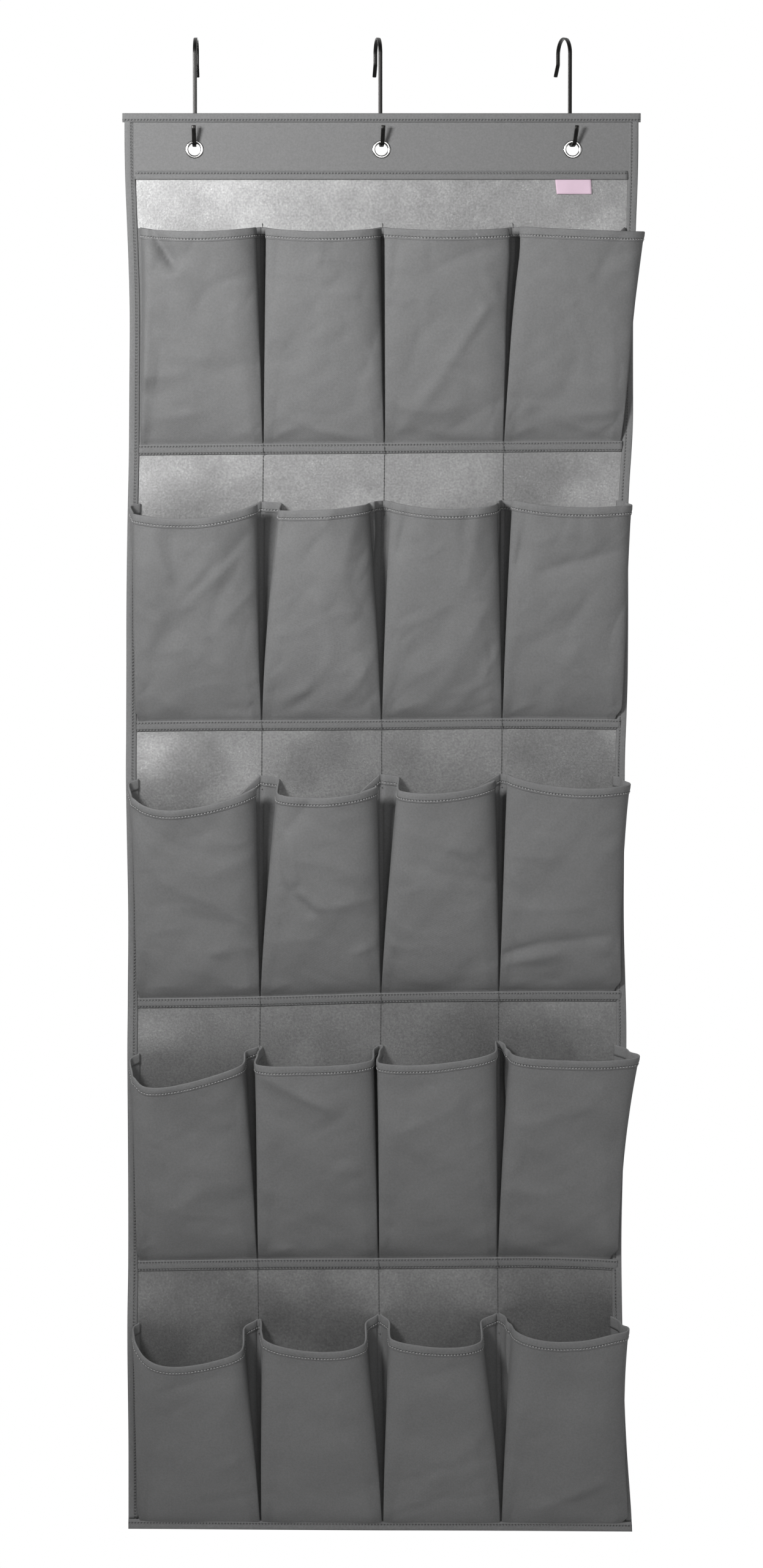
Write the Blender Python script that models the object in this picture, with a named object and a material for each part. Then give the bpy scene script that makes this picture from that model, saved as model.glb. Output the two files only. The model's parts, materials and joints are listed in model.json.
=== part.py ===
"""Hanging shoe organizer: a back panel with five rows of four pleated pockets,
a stiffened header with three eyelets, and a steel S-hook in each eyelet.

Frame: metres, +Z up, the pockets open towards -Y. The origin lies on the axis of
the wardrobe rail, straight above the centre eyelet.

Every cloth piece is a sheet of points on its middle surface, given its thickness
by a Solidify modifier. Plies that touch keep GAP between them.
"""
import math

import bmesh
import bpy
from mathutils import Matrix, Vector

MM = 0.001

# ---------------------------------------------------------------- driving sizes
WIDTH = 500 * MM
HEIGHT = 1400 * MM
RAIL_DIAMETER = 25.4 * MM
HEADER_BELOW_RAIL = 61 * MM      # rail axis to the header's top edge
HEADER_BEHIND = 23 * MM          # the header hangs this far in front of the rail axis

CLOTH = 0.6 * MM                 # thickness of one ply
STIFFENER = 0.8 * MM
GAP = 0.3 * MM                   # left between pieces that touch

ROWS = 5
ROW_PITCH = 268.5 * MM
FIRST_MOUTH = 111.5 * MM         # header top to the mouth of the first row
POCKET_HEIGHT = 214 * MM
DIVIDERS = (-117.5 * MM, 0.0, 117.5 * MM)

HEADER_HEIGHT = 64 * MM
BINDING = 10 * MM                # height of each binding on the front
BINDING_OVERHANG = 2 * MM        # how far the top binding's raw ends stick out
BINDING_REAR = 8.5 * MM          # height of the top binding's rear flange
TAPE_HEIGHT = 10 * MM
HEADER_TAPE_HEIGHT = 8 * MM
HEM_HEIGHT = 10 * MM

# How far the pockets of each row stand off the panel at the mouth.
ROW_DEPTH = [depth * MM for depth in (38, 44, 46, 46, 47)]
# How far the mouths of the pockets stop short of each divider, to its left and to its
# right, row by row. Below zero a pocket leans across the divider.
MOUTH_EDGES = (((5, 4), (2, 1), (8, 5)),
               ((4, 16), (14, 6), (6, 8)),
               ((4, 15), (4, 15), (7, 4)),
               ((13, -4), (6, -4), (2, 10)),
               ((13, 4), (12, 9), (16, 13)))
# How far the outermost corners of each row reach from the middle, left and right.
OUTER_REACH = ((238, 250), (243, 247), (243, 249), (243, 252), (241, 248))
# How far the middle of each hem hangs lower than a taut one, row by row.
HEM_SLACK = ((0, 0, 0, 0), (7, 1, 0, 0), (17, 9, 5, 0), (14, 0, 0, 0), (20, 8, 5, 1))
GUSSET = 40 * MM                 # cloth in each side pleat
FRONT_BULGE = 5 * MM
MOUTH_CORNER = 8 * MM            # radius of an open pocket's front corner
ROOT_HALF = 2 * MM               # half the width of the sewn strip at a divider
FOLD = 0.6 * MM                  # radius of a pressed fold, on the middle surface
OPEN_FOLD = 2.5 * MM             # the same fold in an open pleat
LEAST_PLEAT = 6 * MM             # a pleat never straightens further than this
FOOT_INSET = 1.6 * MM            # keeps the outer pleats clear of the side bindings
END_INSET = 1 * MM               # keeps the strip's raw ends inside those bindings
MIDDLE_LEVEL = 0.45              # height of a row's middle line of points
SLACK_ALONG_SIDE = (0, 0.1, 0.1, 0.2, 0.3, 0.5)   # share of the hem's sag, root to corner
CORNER_SHARE = 1 - math.sqrt(0.5)   # where the middle of a round corner lies

EYELETS = (-182 * MM, 0.0, 186 * MM)
EYELET_BELOW_TOP = 35 * MM
EYELET_RADIUS = 5.8 * MM
FLANGE_RADIUS = 8.9 * MM
EYELET_SHEET = 0.5 * MM
EYELET_SIDES = 20
EYELET_BEND = 1.1 * MM           # radius where the barrel turns into its flanges
FLANGE_DOME = 0.35 * MM          # how far the front flange stands proud of its rim
FLANGE_RIM = 0.5 * MM
FLANGE_SHOULDER = 1.4 * MM
WASHER_BEVEL = 0.4 * MM
PEG_LENGTH = 10 * MM             # pegs that cut the eyelet holes

HOOK_WIDTH = 4 * MM
HOOK_THICK = 2 * MM
HOOK_EDGE = 0.4 * MM             # rounding of the strip's long edges
HOOK_TIP = 0.7                   # share of the strip's section left at its rounded ends
LOW_CROOK_STEPS = 11
HIGH_CROOK_STEPS = 14
RAIL_CROOK = 14.8 * MM           # inside radius of the crook over the rail
EYELET_CROOK = 6 * MM            # inside radius of the crook through the eyelet
FRONT_LEG_TOP = 12.5 * MM        # below the header's top edge
FRONT_LEG_FLARE = math.radians(20)
BACK_LEG_STRAIGHT = 11 * MM      # below the rail axis, where the flare begins
BACK_LEG_END = 22 * MM
BACK_LEG_FLARE = math.radians(30)
STRIP_IN_EYELET = 4.3 * MM       # top of the hook's strip above the eyelet's centre
HOOK_TURNS = [math.radians(angle) for angle in (0, 9, 18)]

LABEL_WIDTH = 36 * MM
LABEL_DROP = 14.5 * MM
LABEL_CENTRE = 185.5 * MM
LABEL_THICK = 0.4 * MM
LABEL_TUCK = 6 * MM              # caught between the header's plies

# --------------------------------------------------------------- derived planes
HEADER_TOP = -HEADER_BELOW_RAIL
STACK = CLOTH + GAP + STIFFENER + GAP + CLOTH
PANEL_BACK = -HEADER_BEHIND + STACK / 2
PANEL_FRONT = PANEL_BACK - CLOTH
STIFFENER_Y = PANEL_FRONT - GAP - STIFFENER / 2
HEADER_FRONT = PANEL_BACK - STACK
STRIP_Y = PANEL_FRONT - GAP - CLOTH / 2
BINDING_BACK_Y = PANEL_BACK + GAP + CLOTH / 2
HEADER_BINDING_Y = HEADER_FRONT - GAP - CLOTH / 2
SIDE_BINDING_Y = STRIP_Y - CLOTH - GAP
FOLDED_DEPTH = 4 * FOLD          # three pressed plies, first middle to last middle
TAPE_Y = STRIP_Y - FOLDED_DEPTH - CLOTH - GAP
HALF = WIDTH / 2
ROOT_OUTER = HALF - BINDING - GAP - FOOT_INSET
STRIP_END = HALF - CLOTH / 2 - GAP - END_INSET
HEM_OFFSET = CLOTH + GAP
FLAT_FOLD_HALF = 0.9 * MM        # half the slit between two pressed pockets
FOLD_RISE = 0.8 * MM             # how far a binding's fold bows out past the edge it covers
EDGE_INSET = CLOTH + FOLD_RISE + GAP
FLAT_FOOT = 4 * MM               # foot of a row that stays pressed flat under its tape
KNEE = 2 * MM                    # how soon an open gusset turns away from its root
SEWN_POINTS = 3                  # points at each end of a strip that lie in its seam
SIDE_TOP = CLOTH + GAP + 1.2 * MM   # where a side binding starts, under the top binding
SIDE_STEP = HEADER_HEIGHT + 2 * MM  # where it starts to step back below the header
SIDE_STEP_LENGTH = 6 * MM
TAPE_COVER = 3 * MM              # how much of a row's foot its seam tape covers
TAPE_KINK = 0.6 * MM             # where the tape starts down to the panel


def below_top(distance):
    """Height of a line this far below the header's top edge."""
    return HEADER_TOP - distance


# -------------------------------------------------------------------- materials
def material(name, colour, roughness, metallic=0.0):
    made = bpy.data.materials.new(name)
    made.use_nodes = True
    shader = made.node_tree.nodes["Principled BSDF"]
    shader.inputs["Base Color"].default_value = (*colour, 1.0)
    shader.inputs["Roughness"].default_value = roughness
    shader.inputs["Metallic"].default_value = metallic
    made.diffuse_color = (*colour, 1.0)
    return made


# ---------------------------------------------------------------- shape helpers
def add_object(name, mesh, finish):
    made = bpy.data.objects.new(name, mesh)
    mesh.materials.append(finish)
    bpy.context.collection.objects.link(made)
    return made


def cloth(name, rows, finish, thickness=CLOTH):
    """Sheet through equally long rows of points, thickened to both sides."""
    mesh = bpy.data.meshes.new(name)
    shaped = bmesh.new()
    grid = [[shaped.verts.new(point) for point in row] for row in rows]
    for lower, upper in zip(grid, grid[1:]):
        for i in range(len(lower) - 1):
            shaped.faces.new((lower[i], lower[i + 1], upper[i + 1], upper[i]))
    bmesh.ops.recalc_face_normals(shaped, faces=shaped.faces)
    shaped.to_mesh(mesh)
    shaped.free()
    made = add_object(name, mesh, finish)
    thick = made.modifiers.new("ply", "SOLIDIFY")
    thick.thickness = thickness
    thick.offset = 0
    thick.use_even_offset = True
    thick.use_quality_normals = True
    return made


def loft(name, loops, finish):
    """Closed body through equally long loops of points, with a flat cap at each end."""
    mesh = bpy.data.meshes.new(name)
    shaped = bmesh.new()
    rings = [[shaped.verts.new(point) for point in loop] for loop in loops]
    count = len(rings[0])
    for first, second in zip(rings, rings[1:]):
        for i in range(count):
            after = (i + 1) % count
            shaped.faces.new((first[i], first[after], second[after], second[i]))
    shaped.faces.new(rings[0])
    shaped.faces.new(rings[-1])
    bmesh.ops.recalc_face_normals(shaped, faces=shaped.faces)
    shaped.to_mesh(mesh)
    shaped.free()
    return add_object(name, mesh, finish)


def turned(name, profile, closed, centre, finish):
    """Profile of (radius, y) points turned about an axis along Y through centre."""
    mesh = bpy.data.meshes.new(name)
    shaped = bmesh.new()
    points = [shaped.verts.new((centre[0] + radius, y, centre[1])) for radius, y in profile]
    pairs = list(zip(points, points[1:]))
    if closed:
        pairs.append((points[-1], points[0]))
    edges = [shaped.edges.new(pair) for pair in pairs]
    bmesh.ops.spin(shaped, geom=points + edges, cent=(centre[0], 0, centre[1]), axis=(0, 1, 0),
                   dvec=(0, 0, 0), angle=2 * math.pi, steps=EYELET_SIDES, use_merge=True)
    bmesh.ops.remove_doubles(shaped, verts=shaped.verts, dist=0.01 * MM)
    bmesh.ops.recalc_face_normals(shaped, faces=shaped.faces)
    shaped.to_mesh(mesh)
    shaped.free()
    mesh.shade_smooth()
    mesh.set_sharp_from_angle(angle=math.radians(40))
    return add_object(name, mesh, finish)


def arc(centre, radius, start, end, steps):
    """Points on an arc in a plane, angles in degrees."""
    points = []
    for i in range(steps + 1):
        angle = math.radians(start + (end - start) * i / steps)
        points.append((centre[0] + radius * math.cos(angle), centre[1] + radius * math.sin(angle)))
    return points


def offset_line(points, distance):
    """Plan line moved sideways by distance, mitred at its corners; plus is to the front."""
    flat = [Vector((point[0], point[1])) for point in points]
    normals = []
    for first, second in zip(flat, flat[1:]):
        along = (second - first).normalized()
        normals.append(Vector((along.y, -along.x)))
    moved = []
    for i, point in enumerate(flat):
        before = normals[max(i - 1, 0)]
        after = normals[min(i, len(normals) - 1)]
        middle = (before + after).normalized()
        reach = distance / max(middle.dot(before), 0.5)
        moved.append(point + middle * reach)
    return moved


# ------------------------------------------------------------- panel and header
def hole_cutter():
    """Three pegs that cut the eyelet holes; never shown and not a piece."""
    shaped = bmesh.new()
    for x in EYELETS:
        place = Matrix.Translation((x, -HEADER_BEHIND, below_top(EYELET_BELOW_TOP)))
        lay_down = Matrix.Rotation(math.radians(90), 4, "X")
        bmesh.ops.create_cone(shaped, cap_ends=True, segments=EYELET_SIDES,
                              radius1=EYELET_RADIUS + EYELET_SHEET + GAP,
                              radius2=EYELET_RADIUS + EYELET_SHEET + GAP,
                              depth=PEG_LENGTH, matrix=place @ lay_down)
    mesh = bpy.data.meshes.new("eyelet_hole_cutter")
    shaped.to_mesh(mesh)
    shaped.free()
    cutter = bpy.data.objects.new("eyelet_hole_cutter", mesh)
    bpy.context.collection.objects.link(cutter)
    cutter.hide_render = True
    cutter.display_type = "WIRE"
    return cutter


def punch(piece, cutter):
    hole = piece.modifiers.new("eyelet holes", "BOOLEAN")
    hole.operation = "DIFFERENCE"
    hole.object = cutter


def flat_sheet(name, half_width, y, top, bottom, finish, thickness=CLOTH):
    rows = [[(-half_width, y, z), (half_width, y, z)] for z in (top, bottom)]
    return cloth(name, rows, finish, thickness)


def panel_and_header(finishes):
    """Back panel to full height, header facing in front of it, stiffener between them."""
    edge = EDGE_INSET
    cutter = hole_cutter()
    panel = flat_sheet("back_panel", HALF - edge, (PANEL_BACK + PANEL_FRONT) / 2,
                       below_top(edge), below_top(HEIGHT - edge), finishes["panel"])
    stiffener = flat_sheet("header_stiffener", HALF - BINDING - GAP, STIFFENER_Y,
                           below_top(BINDING + GAP), below_top(HEADER_HEIGHT - BINDING),
                           finishes["stiffener"], STIFFENER)
    facing = flat_sheet("header_band", HALF - edge, HEADER_FRONT + CLOTH / 2,
                        below_top(edge), below_top(HEADER_HEIGHT), finishes["cloth"])
    for piece in (panel, stiffener, facing):
        punch(piece, cutter)


def header_tape(finishes):
    """Tape sewn over the facing's lower edge."""
    y = HEADER_FRONT - GAP - CLOTH / 2
    flat_sheet("header_tape", HALF - BINDING - GAP, y, below_top(HEADER_HEIGHT - HEADER_TAPE_HEIGHT),
               below_top(HEADER_HEIGHT), finishes["tape"])


def label(finishes):
    """Small bare woven label caught behind the facing's lower edge."""
    y = (PANEL_FRONT + HEADER_FRONT + CLOTH) / 2
    top = below_top(HEADER_HEIGHT - LABEL_TUCK)
    bottom = below_top(HEADER_HEIGHT + LABEL_DROP)
    rows = [[(LABEL_CENTRE + side * LABEL_WIDTH / 2, y, z) for side in (-1, 1)] for z in (top, bottom)]
    cloth("blank_label", rows, finishes["label"], LABEL_THICK)


# --------------------------------------------------------------------- bindings
def folded_edge(front_y, back_y, edge, flange):
    """Middle line of a binding folded over an edge, as (y, distance inward) points.

    The fold is half an ellipse as wide as the stack, so thin and thick stacks fit."""
    middle = (front_y + back_y) / 2
    half = (back_y - front_y) / 2
    points = [(back_y, flange)]
    for i in range(7):
        angle = math.pi * i / 6
        points.append((middle + half * math.cos(angle),
                       edge + FOLD_RISE - FOLD_RISE * math.sin(angle)))
    points.append((front_y, flange))
    return points


def top_and_bottom_bindings(finishes):
    """Bindings along the top edge and along the bottom edge."""
    reach = CLOTH / 2
    fold = folded_edge(HEADER_BINDING_Y - HEM_OFFSET, BINDING_BACK_Y + HEM_OFFSET, reach, BINDING_REAR)
    end = HALF + BINDING_OVERHANG
    rows = [[(x, y, below_top(inward)) for y, inward in fold] for x in (-end, end)]
    cloth("top_binding", rows, finishes["tape"])
    fold = folded_edge(TAPE_Y, BINDING_BACK_Y, reach, BINDING)
    rows = [[(x, y, below_top(HEIGHT - inward)) for y, inward in fold] for x in (-HALF, HALF)]
    cloth("bottom_binding", rows, finishes["tape"])


def side_bindings(finishes):
    """Bindings down both sides; they step back below the thicker header."""
    stations = ((SIDE_TOP, HEADER_BINDING_Y), (SIDE_STEP, HEADER_BINDING_Y),
                (SIDE_STEP + SIDE_STEP_LENGTH, SIDE_BINDING_Y),
                (HEIGHT - BINDING - GAP, SIDE_BINDING_Y))
    for name, side in (("side_binding_left", -1), ("side_binding_right", 1)):
        rows = []
        for distance, front_y in stations:
            fold = folded_edge(front_y, BINDING_BACK_Y, CLOTH / 2, BINDING)
            rows.append([(side * (HALF - inward), y, below_top(distance)) for y, inward in fold])
        cloth(name, rows, finishes["tape"])


# ---------------------------------------------------------------- pocket strips
def blend(low, high, share):
    return low + (high - low) * share


def pocket_side(root, flat_edge, mouth_edge, depth, share, side):
    """Plan points of one side of a pocket, from its root to its front panel.

    The pleat folds into the pocket. Its crease lies half the gusset inside when the
    pocket is pressed flat, and comes out as the front moves away from the panel."""
    front = blend(FOLDED_DEPTH, depth, share)
    opened = share * share if abs(root) == ROOT_OUTER else share
    edge = blend(flat_edge, mouth_edge, opened)
    corner = blend(2 * FOLD, MOUTH_CORNER, share)
    turn_in = blend(FOLD, MOUTH_CORNER, share)
    corner_start = (edge + side * blend(FOLD, 0, share), front - corner)
    corner_middle = (edge + side * blend(0, CORNER_SHARE * MOUTH_CORNER, share),
                     front - blend(FOLD, CORNER_SHARE * MOUTH_CORNER, share))
    corner_end = (edge + side * turn_in, front)
    span = math.hypot(corner_start[0] - root, corner_start[1])
    crease_in = math.sqrt(max(GUSSET ** 2 - span ** 2, LEAST_PLEAT ** 2)) / 2
    fold = blend(FOLD, OPEN_FOLD, share)
    crease = ((root + corner_start[0]) / 2 + side * crease_in, corner_start[1] / 2)
    knee = (root + side * blend(KNEE / 2, KNEE / 4, share), blend(0, KNEE, share))
    return [knee, (crease[0], crease[1] - fold), (crease[0], crease[1] + fold),
            corner_start, corner_middle, corner_end]


def pocket_plan(row, column, share):
    """Plan points of one pocket at one level, as (x, depth, slack share)."""
    roots = (-ROOT_OUTER, *DIVIDERS, ROOT_OUTER)
    room = HEM_OFFSET + CLOTH / 2
    left_root, right_root = roots[column] + ROOT_HALF, roots[column + 1] - ROOT_HALF
    left_flat, right_flat = roots[column] + FLAT_FOLD_HALF, roots[column + 1] - FLAT_FOLD_HALF
    if column == 0:
        left_root = left_flat = -ROOT_OUTER
        left_mouth = -OUTER_REACH[row][0] * MM
    else:
        left_mouth = roots[column] + MOUTH_EDGES[row][column - 1][1] * MM + room
    if column == len(roots) - 2:
        right_root = right_flat = ROOT_OUTER
        right_mouth = OUTER_REACH[row][1] * MM
    else:
        right_mouth = roots[column + 1] - MOUTH_EDGES[row][column][0] * MM - room
    depth = ROW_DEPTH[row]
    left = pocket_side(left_root, left_flat, left_mouth, depth, share, 1)
    right = pocket_side(right_root, right_flat, right_mouth, depth, share, -1)
    start, end = left[-1], right[-1]
    bulge = FRONT_BULGE * share
    front = [(blend(start[0], end[0], part), start[1] + bulge, 1.0) for part in (1 / 3, 2 / 3)]
    plan = [(left_root, 0, 0)]
    plan += [(*point, part) for point, part in zip(left, SLACK_ALONG_SIDE)]
    plan += front
    plan += [(*point, part) for point, part in zip(reversed(right), reversed(SLACK_ALONG_SIDE))]
    plan.append((right_root, 0, 0))
    return plan


def mouth_and_foot(row):
    """Where a row starts and ends below the header's top; the last ends in the binding."""
    mouth = FIRST_MOUTH + row * ROW_PITCH
    return mouth, min(mouth + POCKET_HEIGHT, HEIGHT - EDGE_INSET)


def pressed_height(row):
    """Height of a row's foot that stays flat under its tape or the bottom binding."""
    return FLAT_FOOT if row < ROWS - 1 else BINDING


def strip_level(row, rise):
    """Points of a whole row at one height above its foot, from one side binding to
    the other. It opens evenly from its pressed foot up to its hem, which stands
    upright and keeps it a little off the panel."""
    mouth, foot = mouth_and_foot(row)
    tall = foot - mouth
    pressed = pressed_height(row)
    opening = min(rise, tall - HEM_HEIGHT) - pressed
    share = max(opening, 0) / (tall - HEM_HEIGHT - pressed)
    lift = HEM_OFFSET if rise >= tall - HEM_HEIGHT else 0.0
    height = below_top(foot) + rise
    points = [(-STRIP_END, STRIP_Y, height), (-ROOT_OUTER - KNEE / 2, STRIP_Y, height)]
    for column in range(len(DIVIDERS) + 1):
        slack = HEM_SLACK[row][column] * MM
        for x, depth, part in pocket_plan(row, column, share):
            lean = tall - math.sqrt(tall ** 2 - depth ** 2)
            drop = share * (slack * part * share + lean)
            points.append((x, STRIP_Y - lift - depth, height - drop))
    points += [(ROOT_OUTER + KNEE / 2, STRIP_Y, height), (STRIP_END, STRIP_Y, height)]
    return points


def pocket_row(row, finishes):
    """One pleated strip of cloth, sewn down at its foot, its ends and its dividers."""
    mouth, foot = mouth_and_foot(row)
    tall = foot - mouth
    rises = (0.0, pressed_height(row), MIDDLE_LEVEL * tall, tall - HEM_HEIGHT, tall)
    cloth(f"pocket_row_{row + 1}", [strip_level(row, rise) for rise in rises], finishes["cloth"])


def pocket_hem(row, finishes):
    """Tape folded over the strip's mouth; it stops short of the side bindings."""
    mouth, foot = mouth_and_foot(row)
    low = strip_level(row, foot - mouth - HEM_HEIGHT)[SEWN_POINTS:-SEWN_POINTS]
    top = strip_level(row, foot - mouth)[SEWN_POINTS:-SEWN_POINTS]
    rows = []
    for line, distance, raised in ((low, HEM_OFFSET, 0), (top, HEM_OFFSET, HEM_OFFSET),
                                   (top, -HEM_OFFSET, HEM_OFFSET), (low, -HEM_OFFSET, 0)):
        moved = offset_line(line, distance)
        rows.append([(flat.x, flat.y, point[2] + raised) for flat, point in zip(moved, line)])
    cloth(f"pocket_hem_{row + 1}", rows, finishes["tape"])


def seam_tape(row, finishes):
    """Tape over the foot of a row: half on the pressed pleats, half on the panel."""
    foot = mouth_and_foot(row)[1]
    profile = ((TAPE_Y, foot - TAPE_COVER), (TAPE_Y, foot + TAPE_KINK),
               (STRIP_Y, foot + TAPE_COVER), (STRIP_Y, foot - TAPE_COVER + TAPE_HEIGHT))
    rows = [[(x, y, below_top(distance)) for x in (-ROOT_OUTER, ROOT_OUTER)] for y, distance in profile]
    cloth(f"seam_tape_{row + 1}", rows, finishes["tape"])


# ----------------------------------------------------------- eyelets and hooks
def eyelet(name, x, finishes):
    """Barrel with a domed front flange, rolled over a flat washer at the back."""
    centre = (x, below_top(EYELET_BELOW_TOP))
    wall = EYELET_RADIUS + EYELET_SHEET / 2
    flange_y = HEADER_FRONT - GAP - EYELET_SHEET / 2
    washer_front = PANEL_BACK + GAP
    roll_y = washer_front + EYELET_SHEET + GAP + EYELET_SHEET / 2
    front = arc((wall + EYELET_BEND, flange_y + EYELET_BEND), EYELET_BEND, -90, -180, 2)
    back = arc((wall + EYELET_BEND, roll_y - EYELET_BEND), EYELET_BEND, 180, 90, 2)
    rim = FLANGE_RADIUS - EYELET_SHEET / 2
    profile = [(rim, flange_y), (rim - FLANGE_RIM, flange_y - FLANGE_DOME),
               (wall + FLANGE_SHOULDER, flange_y - FLANGE_DOME), *front, *back]
    barrel = turned(f"eyelet_barrel_{name}", profile, False, centre, finishes["nickel"])
    thick = barrel.modifiers.new("sheet metal", "SOLIDIFY")
    thick.thickness = EYELET_SHEET
    thick.offset = 0
    inner = wall + EYELET_SHEET / 2 + GAP
    washer_back = washer_front + EYELET_SHEET
    ring = [(inner, washer_front), (FLANGE_RADIUS, washer_front),
            (FLANGE_RADIUS, washer_back - WASHER_BEVEL / 2),
            (FLANGE_RADIUS - WASHER_BEVEL, washer_back), (inner, washer_back)]
    turned(f"eyelet_washer_{name}", ring, True, centre, finishes["nickel"])


def hook_path():
    """Middle line of a hook as (y, z) from its swivel axis and the eyelet's centre:
    front leg, crook through the eyelet, shank, crook over the rail, flared back leg."""
    turn = EYELET_CROOK + HOOK_THICK / 2
    over = RAIL_CROOK + HOOK_THICK / 2
    eyelet_z = HEADER_TOP - EYELET_BELOW_TOP
    low_centre = (0.0, STRIP_IN_EYELET + EYELET_CROOK)
    high_centre = (turn + over, RAIL_DIAMETER / 2 - RAIL_CROOK - eyelet_z)
    flare = math.degrees(FRONT_LEG_FLARE)
    low = arc(low_centre, turn, -180 + flare, 0, LOW_CROOK_STEPS)
    leg_rise = HEADER_TOP - FRONT_LEG_TOP - eyelet_z - low[0][1]
    leg_top = (low[0][0] - leg_rise * math.tan(FRONT_LEG_FLARE), low[0][1] + leg_rise)
    high = arc(high_centre, over, 180, 0, HIGH_CROOK_STEPS)
    bend_at = (high[-1][0], -BACK_LEG_STRAIGHT - eyelet_z)
    fall = BACK_LEG_END - BACK_LEG_STRAIGHT
    tip = (bend_at[0] + fall * math.tan(BACK_LEG_FLARE), bend_at[1] - fall)
    return [leg_top, *low, *high, bend_at, tip]


def strip_section(scale):
    """Cross-section of the hook's strip as (across, through), its corners cut."""
    across, through = HOOK_WIDTH / 2 * scale, HOOK_THICK / 2 * scale
    cut = HOOK_EDGE
    half = [(across, through - cut), (across - cut, through),
            (cut - across, through), (-across, through - cut)]
    return half + [(-a, -t) for a, t in half]


def hook(name, x, turn, finishes):
    """Flat steel strip bent to an S; its origin lies on the swivel axis in the eyelet."""
    path = [Vector(point) for point in hook_path()]
    along = [(b - a).normalized() for a, b in zip(path, path[1:])]
    tangents = [along[0]] + [(a + b).normalized() for a, b in zip(along, along[1:])] + [along[-1]]
    path = [path[0] - along[0] * HOOK_EDGE] + path + [path[-1] + along[-1] * HOOK_EDGE]
    tangents = [tangents[0]] + tangents + [tangents[-1]]
    loops = []
    for i, (point, tangent) in enumerate(zip(path, tangents)):
        across_path = Vector((-tangent.y, tangent.x))
        scale = HOOK_TIP if i in (0, len(path) - 1) else 1.0
        loops.append([(across, point.x + across_path.x * through, point.y + across_path.y * through)
                      for across, through in strip_section(scale)])
    made = loft(f"hook_{name}", loops, finishes["hook"])
    made.data.shade_smooth()
    made.data.set_sharp_from_angle(angle=math.radians(35))
    made.location = (x, -HEADER_BEHIND, below_top(EYELET_BELOW_TOP))
    made.rotation_euler = (0, 0, turn)
    return made


# ------------------------------------------------------------------------ build
def clear_scene():
    for item in list(bpy.data.objects):
        bpy.data.objects.remove(item, do_unlink=True)


def build():
    clear_scene()
    finishes = {
        "cloth": material("pocket_cloth", (0.24, 0.24, 0.24), 0.85),
        "tape": material("tape_cloth", (0.25, 0.25, 0.25), 0.85),
        "panel": material("panel_nonwoven", (0.42, 0.42, 0.42), 0.8),
        "stiffener": material("stiffener_board", (0.75, 0.72, 0.66), 0.7),
        "label": material("label_weave", (0.72, 0.62, 0.68), 0.7),
        "nickel": material("eyelet_nickel", (0.78, 0.77, 0.75), 0.2, 1.0),
        "hook": material("hook_steel", (0.05, 0.05, 0.055), 0.35, 0.8),
    }
    panel_and_header(finishes)
    header_tape(finishes)
    label(finishes)
    side_bindings(finishes)
    for row in range(ROWS):
        pocket_row(row, finishes)
        pocket_hem(row, finishes)
        if row < ROWS - 1:
            seam_tape(row, finishes)
    top_and_bottom_bindings(finishes)
    for name, x, turn in zip(("left", "centre", "right"), EYELETS, HOOK_TURNS):
        eyelet(name, x, finishes)
        hook(name, x, turn, finishes)


build()
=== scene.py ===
"""Looks of the hanging shoe organizer: sewn cloth, eyelets and hooks over its CAD frame.

Lengths are millimetres until a mesh is made. A point of the cloth is first placed on
the flat, unhung organizer as (x, down, out): x from the middle, down from the header's
top edge, out from the panel's front. hang() then carries it to its place in the frame.
"""
import json
from math import atan2, cos, hypot, pi, radians, sin, sqrt, tan

import bpy
import numpy as np
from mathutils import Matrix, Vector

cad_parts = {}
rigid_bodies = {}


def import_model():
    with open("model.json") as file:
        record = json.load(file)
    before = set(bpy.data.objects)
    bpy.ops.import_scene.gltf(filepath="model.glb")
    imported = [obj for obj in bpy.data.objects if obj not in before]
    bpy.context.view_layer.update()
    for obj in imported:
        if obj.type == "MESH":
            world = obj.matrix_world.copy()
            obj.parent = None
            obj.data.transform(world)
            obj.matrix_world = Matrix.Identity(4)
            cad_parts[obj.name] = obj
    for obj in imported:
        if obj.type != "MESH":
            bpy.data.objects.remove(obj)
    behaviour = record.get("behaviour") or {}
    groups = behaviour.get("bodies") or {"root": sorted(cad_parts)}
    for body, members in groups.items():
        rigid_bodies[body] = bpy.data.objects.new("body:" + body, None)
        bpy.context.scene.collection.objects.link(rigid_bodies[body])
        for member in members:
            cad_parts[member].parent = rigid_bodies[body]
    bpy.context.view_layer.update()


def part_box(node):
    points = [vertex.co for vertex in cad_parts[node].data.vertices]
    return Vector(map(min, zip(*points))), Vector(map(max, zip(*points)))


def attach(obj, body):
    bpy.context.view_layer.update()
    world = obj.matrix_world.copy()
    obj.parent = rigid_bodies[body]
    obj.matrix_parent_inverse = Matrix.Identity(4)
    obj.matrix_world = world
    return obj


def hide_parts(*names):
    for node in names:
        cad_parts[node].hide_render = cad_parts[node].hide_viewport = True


for leftover in list(bpy.data.objects):
    bpy.data.objects.remove(leftover, do_unlink=True)
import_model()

MM = 0.001
FINISHES = {}  # every material by the name of its finish
PLY = 0.6  # thickness of the cloth


def span(name, axis):
    """Low and high end of a CAD node along an axis, in millimetres."""
    low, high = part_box(name)
    return low[axis] / MM, high[axis] / MM


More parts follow.
